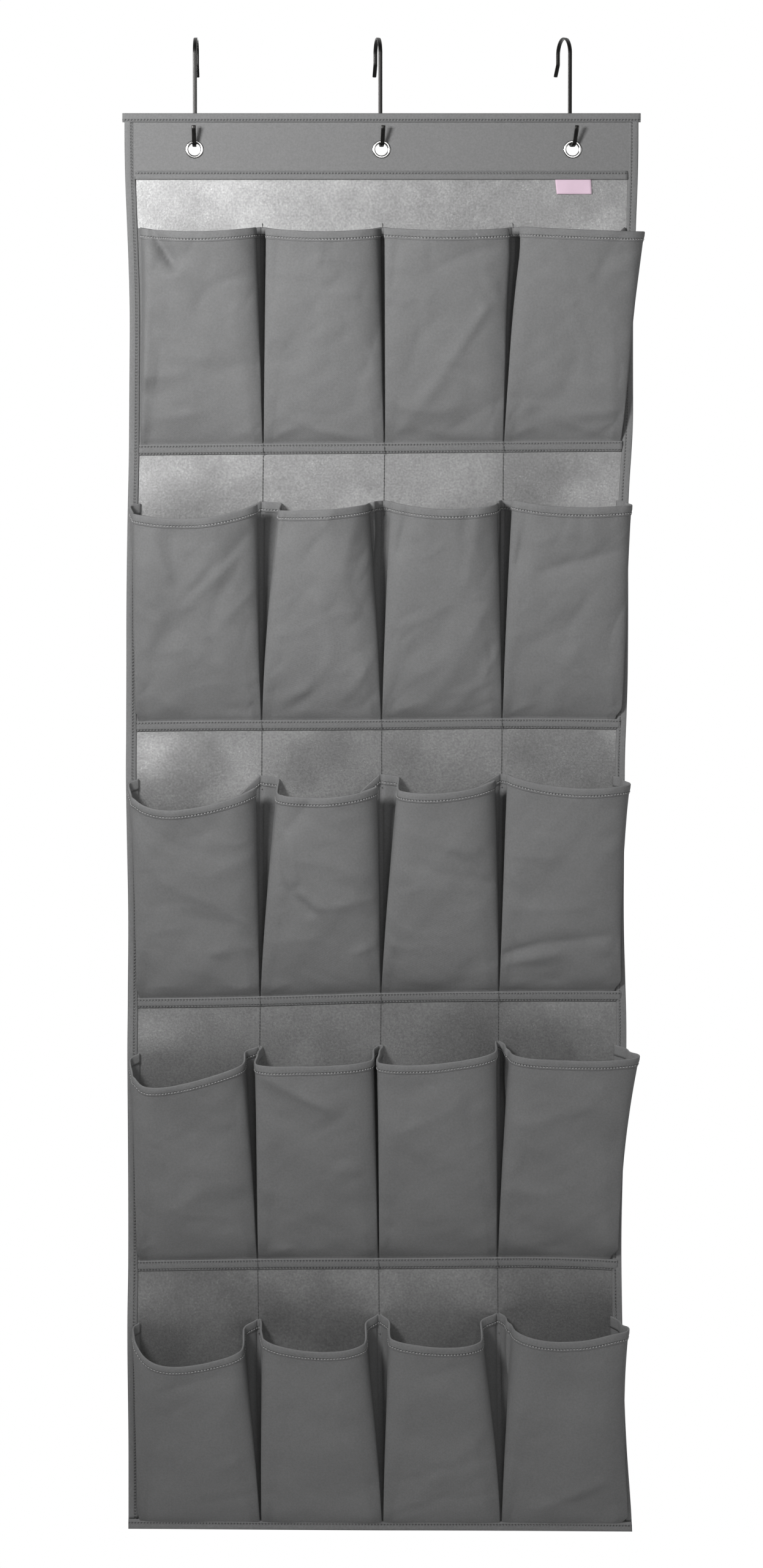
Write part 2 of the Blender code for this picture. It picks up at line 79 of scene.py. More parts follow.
# ---------- the CAD's planes
PANEL_FRONT = span("back_panel", 1)[0]
PANEL_MIDDLE = sum(span("back_panel", 1)) / 2
FACING_MIDDLE = sum(span("header_band", 1)) / 2
HEADER_TOP = span("top_binding", 2)[1]
HALF = span("bottom_binding", 0)[1]
HEIGHT = HEADER_TOP - span("bottom_binding", 2)[0]
HEADER_HEIGHT = HEADER_TOP - span("header_band", 2)[0]
THREE = ("left", "centre", "right")
EYELETS = [sum(span(f"eyelet_barrel_{side}", 0)) / 2 for side in THREE]
EYELET_DOWN = 35.0
EYELET_UP = HEADER_TOP - EYELET_DOWN
HOLE = 6.6  # radius of the hole cut for an eyelet
COLLAR = 12.0  # cloth this near an eyelet follows its hole

# ---------- pocket rows
ROWS = 5
COLUMNS = 4
DIVIDERS = (-117.5, 0.0, 117.5)
ROOT_OUTER = 238.1  # a strip's outer sides are sewn down here
ROOTS = (-ROOT_OUTER, *DIVIDERS, ROOT_OUTER)
STRIP_END = 248.1
POCKET_WIDTH = 119.0  # a mean pocket's, for the curve of its hem
MOUTHS = [111.5 + 268.5 * row for row in range(ROWS)]
FEET = [min(mouth + 214.0, HEIGHT - 1.7) for mouth in MOUTHS]
ROW_DEPTH = (38, 44, 46, 46, 47)
# How far the fronts stay back from each divider at the mouth, left and right of it.
MOUTH_EDGES = (((5, 4), (2, 1), (5, 5.4)),
               ((4, 16), (14, 6), (6, 8)),
               ((4, 15), (4, 15), (7, 4)),
               ((13, -4), (6, -4), (2, 10)),
               ((13, 4), (12, 9), (16, 13)))
# How far from the middle each mouth's outer corners reach, left and right.
OUTER_REACH = ((236, 256), (243, 251), (243, 253), (243, 260), (241, 254))
# How far each hem hangs below its row's line, at its left corner, middle and right.
HEM_DROPS = (((1, 5, 0), (1, 5, 1), (1, 4, 1), (0, 3, 5)),
             ((8, 12, 0), (6, 5, -1), (-3, 5, 0), (-4, 3, 2)),
             ((13, 22, 6), (10, 14, 6), (8, 10, -1), (-7, 4, 3)),
             ((15, 19, 1), (4, 4, 3), (5, 4, -6), (-2, 1, -1)),
             ((4, 28, 12), (2, 13, 7), (2, 9, 6), (-5, 3, -5)))
# Powers that move a hem's lowest point towards the pocket's left corner.
HEM_SKEWS = ((1, 1, 1, 1), (1, 1, 1, 1), (0.7, 1, 1, 1), (0.43, 1, 1, 1), (0.6, 0.9, 1, 1))
# How far each row's mouth drops where it is sewn: left edge, three dividers, right edge.
PEAKS = ((0, 0, 0, 0, 0), (0, 0, 0, 0, 0), (0, 0, 0, 0, 0),
         (0, -3.5, -1.5, -5, -3), (0, 0, -5, -5.5, -5.5))
# How far the front corners stay behind the middle of each front, left and right.
SETBACKS = (((26, 16), (9, 17), (6, 10), (10, 12)),
            ((14, 18), (13, 20), (14, 16), (15, 13)),
            ((14, 19), (15, 17), (13, 17), (11, 14)),
            ((12, 14), (9, 12), (8, 12), (17, 11)),
            ((12, 13), (10, 14), (10, 13), (18, 12)))
# How far the front's outer fold lies over the side binding at the foot, left and right.
OUTER_LAPS = ((0, 0), (2, 6), (2, 7), (2, 8), (2, 8))
# How soon the outer edges leave their mouth's reach on the way down, left and right.
OUTER_POWERS = ((1.2, 1.0), (0.9, 1.5), (0.8, 2.5), (0.8, 2.4), (0.8, 3.0))
INNER_POWER = 1.4
# How each pocket's sides open at the mouth, left then right: p keeps its pleat, f lies
# flat on the panel before it turns forward, e turns at an elbow, s sweeps straight out
# and o bows out over the side binding.
CORNERS = (("pp", "pp", "pp", "pp"), ("op", "fs", "ps", "ps"), ("op", "fp", "fp", "ps"),
           ("oe", "se", "se", "ss"), ("oe", "se", "ee", "ss"))
# Where an opened side's middle lies, as shares of its reach across and of its depth.
TURNS = {"p": (0.5, 0.5), "f": (1.1, 0.1), "e": (1.05, 0.42), "s": (0.55, 0.5),
         "o": (1.7, 0.35)}
# How far the inner creases of the pleats that last to the mouth hang below the hem there.
PLEAT_SAGS = (0.5, 2.5, 4.5, 4.0, 4.0)
CRUMPLES = (2.2, 2.1, 1.7, 1.1, 1.0)  # height of each row's soft creases
# Seed, size and height of the fronts' waves, and seed, spacing and share of their creases.
FRONT_WAVES = ((40, 80, 1.2), (60, 28, 0.2))
FRONT_CREASES = ((200, 66, 1.0), (220, 24, 0.37))
GUSSET = 44.0  # cloth in one pleat
LEAST_PLEAT = 6.0
ROOT_HALF = 2.0  # half the way between two pleats' seams at a divider
FLAT_EDGE = 0.9  # and half the way between their pressed folds
FOLDED = 1.5  # middle of the topmost of three pressed plies
PRESSED = 4.0  # height of the foot that stays pressed flat
FOOT_BAND = 26.0  # height of the foot that has close rows of points
PUFF = 0.16  # share of the depth gained just above the foot
PUFF_LENGTH = 0.07
PLEAT_FOLD = 0.6, 1.6, 7.0  # size of the crease's fold: pressed, opening, and at a turn
CORNER_ROUND = 1.2, 2.2, 5.0  # size of the front corner's rounding, likewise
BULGE = 3.0  # how far the middle of a front arches out
SHOULDER = 38.0  # width over which a front rounds off to its corner
# Rounding: shares of the shoulder's width, of the corner's setback and of the relief.
SHOULDER_KNOTS = ((0.09, 0.34, 0.5), (0.28, 0.70, 0.8), (0.60, 0.93, 0.95), (1.0, 1.0, 1.0))

# ---------- tapes and seams
EDGE = 1.8  # sheets end this far inside the outer edge
BINDING = 10.0  # width of the bindings' flanges
SIDE_BINDING_OUT = 1.5  # below the header their front ply lies this far out
SEWN_IN = 6.4  # they are sewn this far inside their edge
HEM_HEIGHT = 9.5
HEM_STITCH = 7.0
HEM_SPAN = slice(9, -9)  # a hem's tape leaves this many lines of points bare at each end
HEM_CLEAR = 0.12  # between the pocket cloth and the tape folded over it
INSIDE_PANEL = -0.2  # nothing sewn to the front goes deeper than this
TAPE_OUT = 2.2  # seam tapes lie this far off the panel over the pleats
STITCH_PITCH = 3.1
THREAD = 0.45  # radius of the thread
THREAD_TOUCH = 0.15  # it presses this far into the cloth
TAPE_CLEAR = 0.3  # between the header tape's ends and the side bindings
HOLE_ABOVE = 0.5  # needle holes show above the thread that fills them
RIDGE, RIDGE_WIDTH = 0.5, 4  # rise of a seam tape over the pleats at a divider
LABEL_OFF, LABEL_WAVE = 0.8, 0.5  # how far the label's lower edge stands off, and waves
# Sections of tape as (down from the line, out), and the points that needle rows follow.
SEAM_SECTION = ((-3.6, TAPE_OUT - 0.85), (-3.0, TAPE_OUT - 0.25), (-2.2, TAPE_OUT - 0.05),
                (-1.5, TAPE_OUT - 0.1), (-0.6, TAPE_OUT), (1.2, TAPE_OUT - 0.25),
                (3.4, 1.5), (4.6, 1.15), (5.4, 0.9), (6.2, 0.65), (7.0, 0.3))
SEAM_NEEDLES = [3, 8]
HEADER_SECTION = ((-8, -0.8), (-7.2, -0.25), (-6.4, -0.1), (-5.8, -0.1), (-5, 0.0),
                  (-3, 0.1), (-0.6, 0.15), (0, -0.1))
HEADER_NEEDLES = [3]
BINDING_NEEDLES = [2, 15]

# Pressed-in creases and soft folds of each row: the ends' x and down, width, height out.
FOLDS = (
    ((-228, 108, -202, 150, 8, -16.0), (-231, 125, -234, 265, 9, 11.0),
     (-113, 321, -88, 305, 4, 2.4), (121, 321, 147, 306, 4, 2.4), (-8, 322, -34, 312, 4, -1.6),
     (232, 300, 200, 318, 5, 1.8), (98, 185, 46, 270, 6, 3.4), (46, 270, 12, 314, 6, 2.6),
     (-62, 120, -58, 240, 12, 1.4), (190, 150, 235, 170, 9, -1.6),
     (-100, 118, -106, 170, 7, -3.5), (14, 118, 8, 170, 7, -3.5)),
    ((3, 589, 27, 576, 4, 2.0), (121, 589, 148, 573, 4, 2.4), (-226, 560, -190, 585, 5, 1.6),
     (-30, 585, -4, 560, 5, -1.8), (-205, 400, -196, 470, 12, -1.8),
     (152, 446, 238, 424, 12, -5.0), (152, 415, 190, 408, 12, 2.0),
     (-150, 405, -175, 520, 13, 1.5), (-158, 440, -128, 405, 9, -3.0),
     (-224, 402, -206, 450, 6, 2.6), (-214, 470, -196, 505, 9, -2.4),
     (-92, 385, -100, 420, 7, -5.0), (24, 380, 14, 430, 8, -6.5), (144, 380, 130, 445, 9, -7.5),
     (-26, 392, -40, 450, 10, 2.2), (92, 392, 78, 460, 11, 2.2)),
    ((-114, 858, -88, 842, 4, 2.0), (121, 858, 150, 846, 5, 1.8), (20, 850, 84, 857, 5, -1.4),
     (-99, 700, -90, 750, 5, -4.0), (-90, 695, -82, 745, 6, 3.0), (-90, 750, -66, 776, 4, -5.0),
     (-80, 752, -58, 770, 5, 4.0), (-58, 770, -4, 760, 7, 2.0), (119, 820, 160, 808, 4, -4.5),
     (160, 808, 234, 800, 7, -3.0), (122, 829, 180, 817, 6, 3.0), (-28, 816, -4, 806, 4, 2.4),
     (8, 806, 34, 812, 4, 2.0), (-196, 700, -150, 690, 12, -1.6), (-62, 655, -96, 700, 8, -3.0)),
    ((-112, 1126, -84, 1114, 5, 2.0), (-20, 1120, -70, 1127, 5, -1.4),
     (-116, 930, -45, 968, 11, 4.5), (140, 985, 215, 965, 9, 1.6)),
    ((5, 1392, 34, 1378, 5, 1.8), (150, 1375, 225, 1338, 12, 4.0),
     (-215, 1240, -150, 1222, 12, -1.6), (30, 1230, 80, 1215, 10, -1.2)))

# ---------- how it hangs
# Shift to the right of each station, at these ways down.
STATIONS = (-250.0, *DIVIDERS, 250.0)
SHIFT_DOWN = (0, 60, 111, 187, 320, 367, 487, 576, 608, 790, 858, 911, 1110, 1180, 1300, 1400)
SHIFTS = ((0, 0, 2.5, 5, 3.5, 3, 0, -.5, -.6, 1, 0, 0, 0, -.8, -.8, -.9),
          (0, 0, 1.7, 2, 2, 1.3, 0, 0, 0, -1, -1.9, -2.5, -5.3, -4.5, -3, -2.2),
          (0, 0, 1.2, 2, 3, 2.5, 1, 0, 0, 0, -.6, -1, -3, -2.5, 0, 1.2),
          (0, 0, 14, 7, 1.6, 1.4, 1, .8, .8, -1, -2.3, -2.5, -3.1, -2.5, 0, .9),
          (0, 0, -2.5, -5, -4.5, -9.5, -9, -9.8, -12, -13, -10.5, -9.2, -14.5, -13, -9, -.9))
# How far the left edge, the middle and the right edge sink, at these ways down.
SINK_DOWN = (0, 70, 111, 325, 380, 594, 648, 862, 917, 1131, 1185, 1300, 1400)
SINKS = ((0, 0, 0, 1.1, 0, 5.2, 1, 11.3, 4, 1.7, 6, 0, -1.5),
         (0, 0, 0, -1, -2, 3, -2, 6, 0, -1, 6, 2, 0),
         (0, 0, 0, -3.7, -2, .9, -2, .3, -1, -3.8, 5, 1, 1))
TABLE_STEP = 10.0
TABLE_PAST = 200.0  # tables reach this far past the cloth
TABLE_SOFTEN = 7
CURL = 0.8  # how far an edge curls forward for each millimetre that it moves in
LEFT_LIFT = 7.0  # how far each mouth's left end pulls the panel forward
LIFT_ABOVE, LIFT_BELOW = 55, 150  # and how far it does so above and below the mouth
SLACK = 11, 210, 1.6  # seed, length and height of the hung panel's waves
SLACK_FROM, BOUND_FROM = 60, 120  # waves grow over this below the header, fade near the foot


def softened(at, values):
    """Table values every TABLE_STEP of the height, each the mean of its neighbours."""
    steps = np.arange(-TABLE_PAST, HEIGHT + TABLE_PAST, TABLE_STEP)
    line = np.pad(np.interp(steps, at, values), TABLE_SOFTEN // 2, mode="edge")
    return steps, np.convolve(line, np.ones(TABLE_SOFTEN) / TABLE_SOFTEN, mode="valid")


SHIFT_TABLES = [softened(SHIFT_DOWN, line) for line in SHIFTS]
SINK_TABLES = [softened(SINK_DOWN, line) for line in SINKS]


def waves(first, second, seed, length, height, count=7):
    """Sum of plane sine waves whose directions and starts come from the seed."""
    draw = np.random.default_rng(seed)
    total = np.zeros(np.broadcast(first, second).shape)
    for _ in range(count):
        angle = draw.uniform(0, pi)
        start = draw.uniform(0, 2 * pi)
        size = length * draw.uniform(0.7, 1.6)
        along = first * cos(angle) + second * sin(angle)
        total += np.sin(2 * pi * along / size + start)
    return height * total / sqrt(count)


def smoothstep(low, high, values):
    """0 below low, 1 above high, and 3t^2 - 2t^3 between."""
    part = np.clip((values - low) / (high - low), 0, 1)
    return part * part * (3 - 2 * part)


def spread(*numbers):
    """Points whose coordinates are these numbers, each spread over all the points."""
    return np.stack(np.broadcast_arrays(*numbers), axis=-1)


def unit(directions):
    """Directions made one long."""
    return directions / np.maximum(np.linalg.norm(directions, axis=-1, keepdims=True), 1e-6)


def lengths_along(points):
    """Distance along a line of points, from its first."""
    return np.concatenate([[0.0], np.cumsum(np.linalg.norm(np.diff(points, axis=0), axis=1))])


def stops(marks, spacing):
    """Numbers from the first mark to the last, each stretch cut evenly at its spacing."""
    spacings = np.broadcast_to(spacing, len(marks) - 1)
    parts = [np.linspace(a, b, max(1, round(abs(b - a) / step)), endpoint=False)
             for a, b, step in zip(marks, marks[1:], spacings)]
    return np.concatenate([*parts, [marks[-1]]])


def bow(x, down):
    """How far the hung panel comes forward: its edges curl with the square of the way past
    the outer dividers, the left end of each mouth pulls it out, and slack cloth waves
    below the stiffened header."""
    past_right = np.clip((x - DIVIDERS[-1]) / (HALF - DIVIDERS[-1]), 0, 1)
    past_left = np.clip((DIVIDERS[0] - x) / (HALF + DIVIDERS[0]), 0, 1)
    curl = (np.interp(down, *SHIFT_TABLES[0]) * past_left ** 2
            - np.interp(down, *SHIFT_TABLES[-1]) * past_right ** 2)
    lift = LEFT_LIFT * smoothstep(DIVIDERS[0] - 30, 20 - HALF, x)
    for mouth in MOUTHS[1:]:
        curl += (lift * smoothstep(mouth - LIFT_ABOVE, mouth + 5, down)
                 * (1 - smoothstep(mouth + 5, mouth + LIFT_BELOW, down)))
    slack = smoothstep(HEADER_HEIGHT, HEADER_HEIGHT + SLACK_FROM, down)
    bound = 1 - 0.7 * smoothstep(HEIGHT - BOUND_FROM, HEIGHT, down)
    return (CURL * curl + waves(x, down, *SLACK)) * slack * bound


def hang(x, down, out):
    """Points of the flat organizer moved to where they hang: x slides with the seams
    on either side of it, the height sinks, and the depth follows the panel's bow."""
    x, down, out = np.broadcast_arrays(x, down, out)
    shift, sink = np.zeros(x.shape), np.zeros(x.shape)
    for at, before, after, table in zip(
            STATIONS, (-1e3, *STATIONS[:-1]), (*STATIONS[1:], 1e3), SHIFT_TABLES):
        near = np.minimum((x - before) / (at - before), (after - x) / (after - at))
        shift += np.interp(down, *table) * np.clip(near, 0, 1)
    for at, table in zip((-HALF, 0.0, HALF), SINK_TABLES):
        sink += np.interp(down, *table) * np.clip(1 - np.abs(x - at) / HALF, 0, 1)
    return spread(x + shift, PANEL_FRONT - out - bow(x, down), HEADER_TOP - down - sink)


def hung(points):
    return hang(points[..., 0], points[..., 1], points[..., 2])


# ---------- meshes
def add_piece(name, stands_for, points, loops, sizes, uv, finish):
    """Object from points in millimetres, corners listed face by face, and their UVs; it
    may stand for a node of the CAD."""
    mesh = bpy.data.meshes.new(name)
    mesh.vertices.add(len(points))
    mesh.vertices.foreach_set("co", (np.asarray(points) * MM).astype(np.float32).ravel())
    mesh.loops.add(len(loops))
    mesh.loops.foreach_set("vertex_index", np.asarray(loops, np.int32))
    mesh.polygons.add(len(sizes))
    mesh.polygons.foreach_set("loop_start", (np.cumsum(sizes) - sizes).astype(np.int32))
    mesh.update(calc_edges=True)
    layer = mesh.uv_layers.new(name="cloth")
    layer.data.foreach_set("uv", (np.asarray(uv)[loops] * MM).astype(np.float32).ravel())
    mesh.validate()
    mesh.shade_smooth()
    mesh.materials.append(FINISHES[finish])
    made = bpy.data.objects.new(name, mesh)
    bpy.context.collection.objects.link(made)
    if stands_for:
        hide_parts(stands_for)
    return made


def grid_faces(rows, columns, around=False, closed=False):
    """Corners of the quads between neighbouring points of a grid, one quad a row; around
    joins its last column to its first, and closed its last row to its first."""
    index = np.arange(rows * columns).reshape(rows, columns)
    if around:
        index = np.concatenate([index, index[:, :1]], axis=1)
    if closed:
        index = np.concatenate([index, index[:1]])
    return np.stack([index[:-1, :-1], index[:-1, 1:], index[1:, 1:], index[1:, :-1]],
                    axis=-1).reshape(-1, 4)


def rod_faces(rings, sides, count=1, order=1):
    """Corners and face sizes of rods: walls between their rings and a cap on each end."""
    first = (np.arange(count) * sides * rings)[:, None, None]
    walls = (grid_faces(rings, sides, True)[None, :, ::order] + first).reshape(-1, 4)
    ring = np.arange(sides)
    caps = np.stack([ring[::-order], ring[::order] + sides * (rings - 1)])[None] + first
    loops = np.concatenate([walls.ravel(), caps.ravel()])
    return loops, np.repeat((4, sides), (len(walls), 2 * count))


def cloth_piece(name, stands_for, points, uv, finish, thickness=PLY, keep=None):
    """Sheet over a grid of points of the flat organizer, hung and thickened to both sides;
    keep marks the quads that stay."""
    quads = grid_faces(*points.shape[:2])
    if keep is not None:
        quads = quads[keep.ravel()]
    used, quads = np.unique(quads, return_inverse=True)
    sizes = np.full(quads.size // 4, 4)
    made = add_piece(name, stands_for, hung(points).reshape(-1, 3)[used], quads.ravel(), sizes,
                     uv.reshape(-1, 2)[used], finish)
    thick = made.modifiers.new("ply", "SOLIDIFY")
    thick.thickness = thickness * MM
    thick.offset = 0
    return made


def stitches(name, lines, finish="thread", pitch=STITCH_PITCH, thread=THREAD, reach=0.34):
    """Rows of stitches: on each line of (points, outward) a short rod every pitch, with
    rounded ends that dip into the cloth. A rod's ring is a circle about the line, and
    its radius and height follow half a sine from end to end."""
    sides, rings = 6, 5
    ring_at = np.linspace(-reach, reach, rings)
    swell = np.cos(ring_at / reach * pi * 0.4)
    turn = (2 * pi * np.arange(sides) / sides)[:, None]
    points = []
    for line, outwards in lines:
        along = lengths_along(line)
        at = np.arange(pitch / 2, along[-1], pitch)[:, None] + ring_at * pitch
        centre, normal = [spread(*[np.interp(at, along, track[:, axis]) for axis in range(3)])
                          for track in (line, outwards)]
        normal = unit(normal)
        aside = np.cross(normal, np.broadcast_to(unit(centre[:, -1:] - centre[:, :1]),
                                                 normal.shape))
        centre = centre + normal * (swell[:, None] * thread - thread * 0.5)
        ring = aside[:, :, None] * np.cos(turn) + normal[:, :, None] * np.sin(turn)
        points.append(centre[:, :, None] + ring * (thread * swell)[:, None, None])
    points = np.concatenate(points)
    loops, sizes = rod_faces(rings, sides, len(points))
    points = points.reshape(-1, 3)
    return add_piece(name, None, points, loops, sizes, points[:, [0, 2]], finish)


# ---------- pocket strips
def spline_weights(knots, samples):
    """Weights of a quadratic B-spline that starts and ends on its end knots: each span
    runs from one middle between knots to the next."""
    spans = knots - 2
    place_on = np.linspace(0, spans, samples)
    span_at = np.minimum(place_on.astype(int), spans - 1)
    part = place_on - span_at
    weights = np.zeros((samples, knots))
    rows = np.arange(samples)
    weights[rows, span_at] += 0.5 * (1 - part) ** 2
    weights[rows, span_at + 1] += 0.5 + part * (1 - part)
    weights[rows, span_at + 2] += 0.5 * part ** 2
    for chosen, end, beside, rest in ((span_at == 0, 0, 1, 1 - part),
                                      (span_at == spans - 1, -1, -2, part)):
        weights[chosen, end] += 0.5 * rest[chosen] ** 2
        weights[chosen, beside] -= 0.5 * rest[chosen] ** 2
    return weights


def side_knots(root, flat_edge, mouth_edge, front, setback, opened, side, corner, power, lap,
               sag):
    """Knots of one side of a pocket at every level, from its root to its shoulder.

    The pleat is a V folded into the pocket. Both its legs keep half the gusset's cloth,
    so its crease comes out as the front moves away. Where a mouth has no cloth to spare,
    the crease moves to its corner's turn and rounds off."""
    flat_edge = flat_edge - side * lap * smoothstep(0, 0.06, opened)
    edge = flat_edge + (mouth_edge - flat_edge) * opened ** power
    back = front - setback * opened
    reached = np.hypot(edge - root, back)
    inward = np.sqrt(np.maximum(GUSSET ** 2 - reached ** 2, LEAST_PLEAT ** 2)) / 2
    crease_x, crease_out = (root + edge) / 2 + side * inward, back / 2
    pleated = corner == "p"
    loose = smoothstep(0.3, 0.9, opened) * (not pleated)
    reach, depth = TURNS[corner]
    crease_x = crease_x + (root + (edge - root) * reach - crease_x) * loose
    crease_out = crease_out + (back * depth - crease_out) * loose
    fold = PLEAT_FOLD[0] + PLEAT_FOLD[1] * opened + PLEAT_FOLD[2] * loose * depth
    round_off = CORNER_ROUND[0] + CORNER_ROUND[1] * opened + CORNER_ROUND[2] * loose
    shoulder = SHOULDER * (0.25 + 0.75 * opened)
    return [(root, 0.0, 0.0, 0.0, 0.0),
            (root + side * 0.5, np.minimum(2.0, back / 4) * opened, 0.0, 0.05, 0.0),
            (crease_x, crease_out - fold, 0.0, 0.95 if pleated else 0.2, sag * pleated),
            (crease_x, crease_out + fold, 0.0, 1.0 if pleated else 0.35, sag * pleated),
            (edge, back - round_off, 0.1, 1.0 if pleated else 0.9, 0.0),
            (edge + side * 0.12 * round_off, back, 0.3, 1.0, 0.0),
            *[(edge + side * wide * shoulder, back + rise * setback * opened, share, 1.0, 0.0)
              for wide, rise, share in SHOULDER_KNOTS]]


def pocket_knots(row, column, opened):
    """Knots of one pocket: x, out, share of front, share of the hem's drop, and sag."""
    deep = FOLDED + (ROW_DEPTH[row] - FOLDED) * (
        PUFF * (1 - np.exp(-opened / PUFF_LENGTH)) + (1 - PUFF) * opened ** 0.95)
    sides = []
    for end, side in enumerate((1, -1)):
        root = ROOTS[column + end]
        if abs(root) == ROOT_OUTER:
            flat, mouth = root, -side * OUTER_REACH[row][end]
            power, lap = OUTER_POWERS[row][end], OUTER_LAPS[row][end]
        else:
            mouth = root + side * (MOUTH_EDGES[row][column - 1 + end][1 - end] + PLY)
            flat, root = root + side * FLAT_EDGE, root + side * ROOT_HALF
            power, lap = INNER_POWER, 0
        sides.append(side_knots(root, flat, mouth, deep, SETBACKS[row][column][end], opened, side,
                                CORNERS[row][column][end], power, lap, PLEAT_SAGS[row]))
    left, right = sides
    centre = [(left[-1][0] + (right[-1][0] - left[-1][0]) * part, deep, 1.0, 1.0, 0.0)
              for part in (0.25, 0.5, 0.75)]
    middle, half = (left[4][0] + right[4][0]) / 2, (right[4][0] - left[4][0]) / 2
    arch = BULGE * (np.sin(pi * np.minimum(opened * 1.1, 1)) + opened)
    return [(x, out + arch * share * (1 - ((x - middle) / half) ** 2), share, *rest)
            for x, out, share, *rest in left + centre + right[::-1]]


def hem_drop(row, column, across):
    """Curve through the drops at a hem's left corner, middle and right corner."""
    left, middle, right = HEM_DROPS[row][column]
    skewed = across ** HEM_SKEWS[row][column]
    return (left + (right - left) * across
            + 4 * (middle - (left + right) / 2) * skewed * (1 - skewed))


def crumple(x, down, seed, spacing, height):
    """Soft creases: the squares of 1 - |sine|, on lines that slow waves bend, each set
    fading in and out over the cloth; every second set goes inward."""
    draw = np.random.default_rng(seed)
    bent_x = x + waves(x, down, seed + 1, 2.4 * spacing, 0.25 * spacing)
    bent_down = down + waves(x, down, seed + 2, 2.4 * spacing, 0.25 * spacing)
    total = 0
    for sign in (1, -1, 1, -1):
        angle, start = draw.uniform(0, pi, 2)
        along = bent_x * cos(angle) + bent_down * sin(angle)
        turns = pi * along / (spacing * draw.uniform(0.8, 1.5)) + start
        seed += 5
        total += (sign * (1 - np.abs(np.sin(turns))) ** 2
                  * smoothstep(-0.1, 0.9, waves(x, down, seed, 2.2 * spacing, 1.0)))
    return height * total


def fold_relief(row, x, down):
    """Waves, soft creases, and ridges along line pieces: each ridge falls off like a bell
    across its line and fades out past its ends."""
    relief = np.zeros(x.shape)
    for seed, size, height in FRONT_WAVES:
        relief += waves(x, down, seed + row, size, height)
    for seed, spacing, share in FRONT_CREASES:
        relief += crumple(x, down, seed + 50 * row, spacing, share * CRUMPLES[row])
    for from_x, from_down, to_x, to_down, width, height in FOLDS[row]:
        run_x, run_down = to_x - from_x, to_down - from_down
        length = hypot(run_x, run_down)
        along = ((x - from_x) * run_x + (down - from_down) * run_down) / length
        aside = ((x - from_x) * run_down - (down - from_down) * run_x) / length
        ends = smoothstep(-width, width, along) * smoothstep(-width, width, length - along)
        relief += height * np.exp(-np.sqrt(aside ** 2 + 1.0) / width * 1.2) * ends
    return relief


def strip_surface(row, rises, per_knot=4):
    """Points (x, down, out) of a whole row on the flat organizer, one line of points for
    each rise above its foot: a spline through the knots of its pockets, with the relief
    of its fronts."""
    tall = FEET[row] - MOUTHS[row]
    opened = np.clip((rises - PRESSED) / (tall - PRESSED), 0, 1)
    ends = [(x, 0.0, 0.0, 0.0, 0.0, column) for x, column in (
        (-STRIP_END, 0), (-ROOT_OUTER - 1, 0), (ROOT_OUTER + 1, -1), (STRIP_END, -1))]
    inner = [(*knot, column) for column in range(COLUMNS)
             for knot in pocket_knots(row, column, opened)]
    knots = [[number + np.zeros_like(opened) for number in knot[:5]] + [knot[5]]
             for knot in ends[:2] + inner + ends[2:]]
    drops = [hang_share * hem_drop(row, column,
                                   np.clip((x - ROOTS[column]) / POCKET_WIDTH, 0, 1))
             + (1 - hang_share) * np.interp(x, ROOTS, PEAKS[row]) + sag
             for x, _, _, hang_share, sag, column in knots]
    weights = spline_weights(len(knots), (len(knots) - 2) * per_knot + 1).T
    x, out, front = [np.stack([knot[i] for knot in knots], axis=1) @ weights for i in range(3)]
    share = rises[:, None] / tall
    down = FEET[row] - (tall - np.stack(drops, axis=1) @ weights) * share
    relief = fold_relief(row, x, down) * front * smoothstep(0.01, 0.09, share)
    return spread(x, down, out + relief)


def pocket_row(row):
    """One strip, its hem tape and the stitches through both. Its cloth coordinates run
    along the mouth and up from the foot."""
    tall = FEET[row] - MOUTHS[row]
    rises = stops((0, FOOT_BAND, tall - HEM_HEIGHT, tall), (FOOT_BAND / 12, 3.2, 3.2))
    points = strip_surface(row, rises)
    uv = spread(lengths_along(points[-1])[None, :], rises[:, None])
    strip = cloth_piece(f"pocket_cloth_{row + 1}", f"pocket_row_{row + 1}", points, uv, "cloth")
    hem, seam = pocket_hem(row, points, rises)
    tall * MM
    return [(strip, "cloth"), (hem, "tape"), (seam, "tape")]


